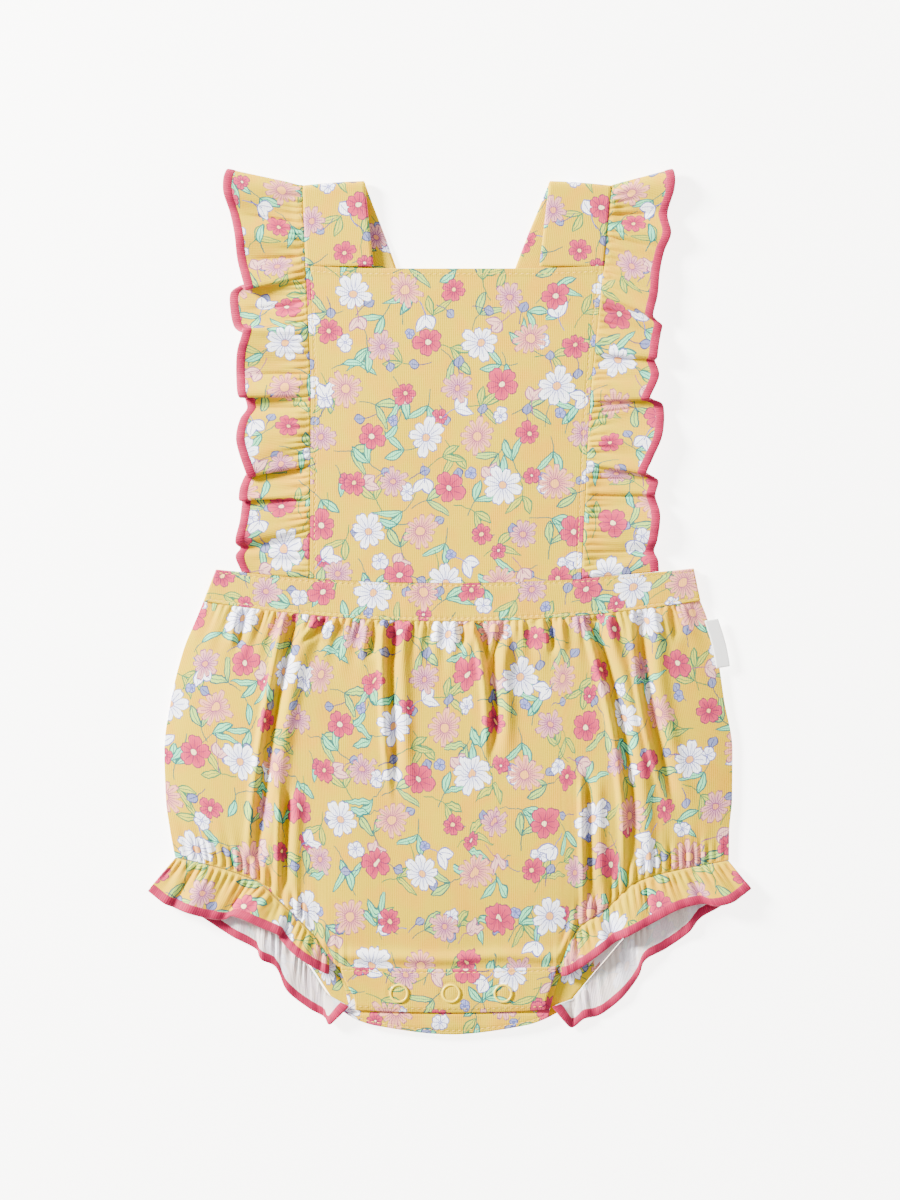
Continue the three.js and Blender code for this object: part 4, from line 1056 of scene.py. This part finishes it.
def hemSeam(hemY, x, z):
    slope = hemY(x + 0.5) - hemY(x - 0.5)
    length = np.hypot(1, slope)
    gap = ruffleValues["legSeamGap"]
    return np.stack([x + gap * slope / length, hemY(x) - gap / length, z + 0 * x], axis=1)


def frontLegSeam(x):
    nearSide = ease(np.abs(x), 122, 137)
    z = lerp(bloomerValues["hemHeight"], bloomerValues["crotchHeight"], nearCrotch(x))
    return hemSeam(frontHemY, x, lerp(z, bloomerValues["seamHeight"] + 0.6, nearSide))


def backLegSeam(x):
    return hemSeam(backHemY, x, 0.6)


def addRuffle(name, node, seamAt, turns, depthSteps, materials, flip):
    v = ruffleValues
    place, arcs = evenPlaces(turns, v["step"])

    def clothReach(span):
        steps = np.linspace(0, 1, depthSteps)
        return steps[None] * (1 - 2.2 / span)[:, None]

    points, distance, seam, span = ruffleSheet(seamAt, turns, place, arcs, clothReach, v)
    uv = np.stack([np.repeat(arcs[:, None], depthSteps, 1), -distance], axis=2)
    if flip:
        points, uv = points[::-1], uv[::-1]
    cloth = clothShell(f"{name}Cloth", points, v["thickness"], uv, materials)
    # the map above unrolls the cloth to a tapered strip as long as its free edge
    finishCloth(cloth, [node])
    addEdging(name, node, seamAt, turns, flip)


def addEdging(name, node, seamAt, turns, flip):
    # the dense wrapped stitch round the free edge: a flattened roll with a rib for each thread
    v = ruffleValues
    place, arcs = evenPlaces(turns, v["threadPitch"] / 4)
    width, half = v["edgingWidth"], v["edgingThickness"] / 2

    def edgeReach(span):
        return np.stack([1 - (width - 0.5) / span, 1 - (width / 2) / span, 1 - 0.1 / span], axis=1)

    points, _, _, span = ruffleSheet(seamAt, turns, place, arcs, edgeReach, v)
    middle = points[:, 1]
    outward = points[:, 2] - points[:, 0]
    outward /= np.linalg.norm(outward, axis=1, keepdims=True) + 1e-9
    along = np.gradient(middle, axis=0)
    normal = np.cross(outward, along)
    normal /= np.linalg.norm(normal, axis=1, keepdims=True) + 1e-9
    angles = np.linspace(0, 2 * np.pi, 12, endpoint=False)
    rib = 1 + 0.11 * np.cos(2 * np.pi * arcs / v["threadPitch"])[:, None]
    sideways = np.sign(np.cos(angles)) * np.abs(np.cos(angles)) ** 0.55 * (width / 2)
    upward = np.sin(angles) * half
    ring = middle[:, None] + outward[:, None] * (sideways * (0.97 + 0.03 * rib))[..., None]
    ring = ring + normal[:, None] * (upward * rib)[..., None]
    ring[..., 2] = np.maximum(ring[..., 2], 0.05)
    count, around = ring.shape[:2]
    quads = tubeQuads(count, around)
    if flip:
        quads = quads[:, ::-1]
    uv = np.stack([np.repeat(arcs[:, None], around, 1), np.repeat(angles[None] * width / np.pi, count, 0)], axis=2)
    edging = makeMesh(f"{name}Edging", ring.reshape(-1, 3), quads, np.zeros(len(quads)),
                      uv.reshape(-1, 2), [overlockThread])
    closeEnds(edging, around, count)
    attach(edging, "root")
    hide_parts(f"{node}_edging")


def closeEnds(piece, around, count):
    mesh = piece.data
    shape = bmesh.new()
    shape.from_mesh(mesh)
    shape.verts.ensure_lookup_table()
    for start in (0, (count - 1) * around):
        shape.faces.new([shape.verts[start + i] for i in range(around)])
    bmesh.ops.recalc_face_normals(shape, faces=shape.faces)
    shape.to_mesh(mesh)
    shape.free()


shoulderTurns = {"left": leftRuffleTurns, "right": rightRuffleTurns}
for side in ("left", "right"):
    label = side.capitalize()
    addRuffle(f"shoulderRuffle{label}", f"ruffle_{side}", shoulderSeam(side), shoulderTurns[side], 32,
              [cottonKnit, knitReverse], side == "right")
    addRuffle(f"legRuffleFront{label}", f"leg_ruffle_front_{side}", frontLegSeam, frontLegTurns[side], 26,
              [cottonKnit, knitReverse], side == "right")
    addRuffle(f"legRuffleBack{label}", f"leg_ruffle_back_{side}", backLegSeam, backLegTurns[side], 26,
              [knitReverse, cottonKnit], side == "right")

# Crotch bands

snapValues = {"ring": 4.2, "wire": 0.55, "flatten": 0.9, "middleX": 0.5, "y": -196.5, "pitch": 26, "height": 5.5}
crotchValues = {
    "front": {"topLeft": -54.2, "topRight": 52.7, "footLeft": -47, "footRight": 47.4, "footY": -206,
              "height": 4.2, "thickness": 1.8, "depth": 21, "stitch": 1.6, "footDrop": 0.7},
    "back": {"topHalf": 56, "footHalf": 49, "topY": -187, "past": 0.4, "height": 2.2, "thickness": 1.2,
             "swell": 0.85, "stitch": 1.6},
}


def frontCrotchSheet(across, down):
    v = crotchValues["front"]
    taper = ease(down, 0, 0.9)
    x = lerp(lerp(v["topLeft"], v["footLeft"], taper), lerp(v["topRight"], v["footRight"], taper), across)
    y = lerp(frontHemY(x) + 0.1, v["footY"] + 1.5 * (x / 50) ** 2, down)
    nearEdge = v["depth"] * np.minimum(down, 1 - down)
    z = v["height"] - groove(nearEdge - v["stitch"]) + 0.25 * smoothNoise(x, 9, 41) * np.sin(np.pi * down)
    for i in (-1, 0, 1):
        away = np.hypot(x - snapValues["middleX"] - i * snapValues["pitch"], y - snapValues["y"])
        z += 0.35 * np.exp(-(away / 3.2) ** 4) - 0.3 * np.exp(-((away - 5.4) / 1.0) ** 2)
    z -= v["footDrop"] * ease(down, 0.9, 1)
    return np.stack([x, y, z], axis=2)


def backCrotchSheet(across, down):
    v = crotchValues["back"]
    half = lerp(v["topHalf"], v["footHalf"], down ** 0.7)
    x = lerp(-half, half, across)
    y = lerp(v["topY"], backHemY(x) + v["past"], down)
    below = crotchValues["front"]["footY"] - y
    z = v["height"] + v["swell"] * ease(below, 0.4, 1.6) * (1 - 0.8 * ease(below, 6, 11.5))
    z = z - groove(y - backHemY(x) - v["past"] - v["stitch"], 0.18)
    return np.stack([x, y, z + 0.2 * smoothNoise(x, 8, 42) * ease(below, 0, 3)], axis=2)


points = frontCrotchSheet(*grid(220, 64, 0, 0.4))
crotchFront = clothShell("crotchBandFrontCloth", points, crotchValues["front"]["thickness"],
                         flatMap(points, (33, 61)), [cottonKnit, cottonKnit])
print("crotchFront", round(clothArea(points), 5))
finishCloth(crotchFront, ["placket_front"])
crotchInset = crotchValues["front"]["stitch"] / crotchValues["front"]["depth"]
crotchFace = crotchValues["front"]["thickness"] / 2
addStitches("crotchTopstitch", [
    stitchLine(frontCrotchSheet, 0.01 + 0.98 * even, crotchInset, crotchFace),
    stitchLine(frontCrotchSheet, 0.01 + 0.98 * even, 1 - crotchInset, crotchFace),
])
points = backCrotchSheet(*grid(150, 60))
crotchBack = clothShell("crotchBandBackCloth", points, crotchValues["back"]["thickness"],
                        flatMap(points, (93, 31)), [cottonKnit, cottonKnit])
print("crotchBack", round(clothArea(points), 5))
finishCloth(crotchBack, ["placket_back"])
footInset = crotchValues["back"]["stitch"] / 29
addStitches("flapTopstitch", [
    stitchLine(backCrotchSheet, 0.04 + 0.92 * even, 1 - footInset, crotchValues["back"]["thickness"] / 2),
])

# Label: a bare folded tape

labelValues = {"topY": -10.5, "footY": -34, "width": 6.8, "inset": 1.5, "innerZ": 4.2, "outerZ": 3, "thickness": 0.8}


def labelSheet(across, down):
    v = labelValues
    y = lerp(v["topY"], v["footY"], down) + across
    x = bloomerRight(y) - v["inset"] + across * v["width"]
    return np.stack([x, y, lerp(v["innerZ"], v["outerZ"], across)], axis=2)


points = labelSheet(*grid(16, 40))
label = clothShell("labelTape", points, labelValues["thickness"], flatMap(points), [satinTape, satinTape])
finishCloth(label, ["label_tab"])

# Snaps

# Ring caps pressed through the front crotch band
for i in (-1, 0, 1):
    v = snapValues
    bpy.ops.object.select_all(action="DESELECT")
    place = ((v["middleX"] + i * v["pitch"] + centring[0]) * mm, (v["y"] + centring[1]) * mm, v["height"] * mm)
    bpy.ops.mesh.primitive_torus_add(location=place, major_radius=v["ring"] * mm, minor_radius=v["wire"] * mm,
                                     major_segments=72, minor_segments=20)
    ring = bpy.context.object
    ring.name = f"snapRing{i + 2}"
    ring.scale = (1, 1, v["flatten"])
    bpy.ops.object.transform_apply(location=True, rotation=True, scale=True)
    bpy.ops.object.shade_smooth()
    ring.data.materials.append(snapEnamel)
    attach(ring, "root")
    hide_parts(f"snap_ring_{i + 2}")

# Floor, light and camera

stageValues = {"floor": "#f4f2ee", "cameraHeight": 1.5, "frameHeight": 0.6, "midHeight": 0.004, "glow": 5.5}
bpy.ops.object.select_all(action="DESELECT")
bpy.ops.mesh.primitive_plane_add(size=6, location=(0, 0, -0.0003))
floor = bpy.context.object
floor.name = "floor"
paper, tree, shader = newMaterial("paper")
shader.inputs["Base Color"].default_value = linear(stageValues["floor"])
shader.inputs["Emission Color"].default_value = linear(stageValues["floor"])
shader.inputs["Emission Strength"].default_value = stageValues["glow"]
shader.inputs["Roughness"].default_value = 0.9
floor.data.materials.append(paper)

world = bpy.data.worlds.new("studio")
world.use_nodes = True
world.node_tree.nodes["Background"].inputs["Color"].default_value = (1, 1, 1, 1)
world.node_tree.nodes["Background"].inputs["Strength"].default_value = 0.9
scene.world = world

lamps = [
    {"name": "softKey", "place": (-1.6, 0.85, 0.85), "size": 0.45, "power": 265},
    {"name": "softFill", "place": (1.3, 0.4, 1.5), "size": 1.4, "power": 12},
]
for lamp in lamps:
    light = bpy.data.lights.new(lamp["name"], "AREA")
    light.energy = lamp["power"]
    light.size = lamp["size"]
    holder = bpy.data.objects.new(lamp["name"], light)
    holder.location = lamp["place"]
    holder.rotation_euler = (-Vector(lamp["place"])).to_track_quat("-Z", "Y").to_euler()
    scene.collection.objects.link(holder)

cameraData = bpy.data.cameras.new("overhead")
cameraData.sensor_width = 36
cameraData.lens = 36 * (stageValues["cameraHeight"] - stageValues["midHeight"]) / stageValues["frameHeight"]
camera = bpy.data.objects.new("overhead", cameraData)
camera.location = (centring[0] * mm, centring[1] * mm, stageValues["cameraHeight"])
scene.collection.objects.link(camera)
scene.camera = camera
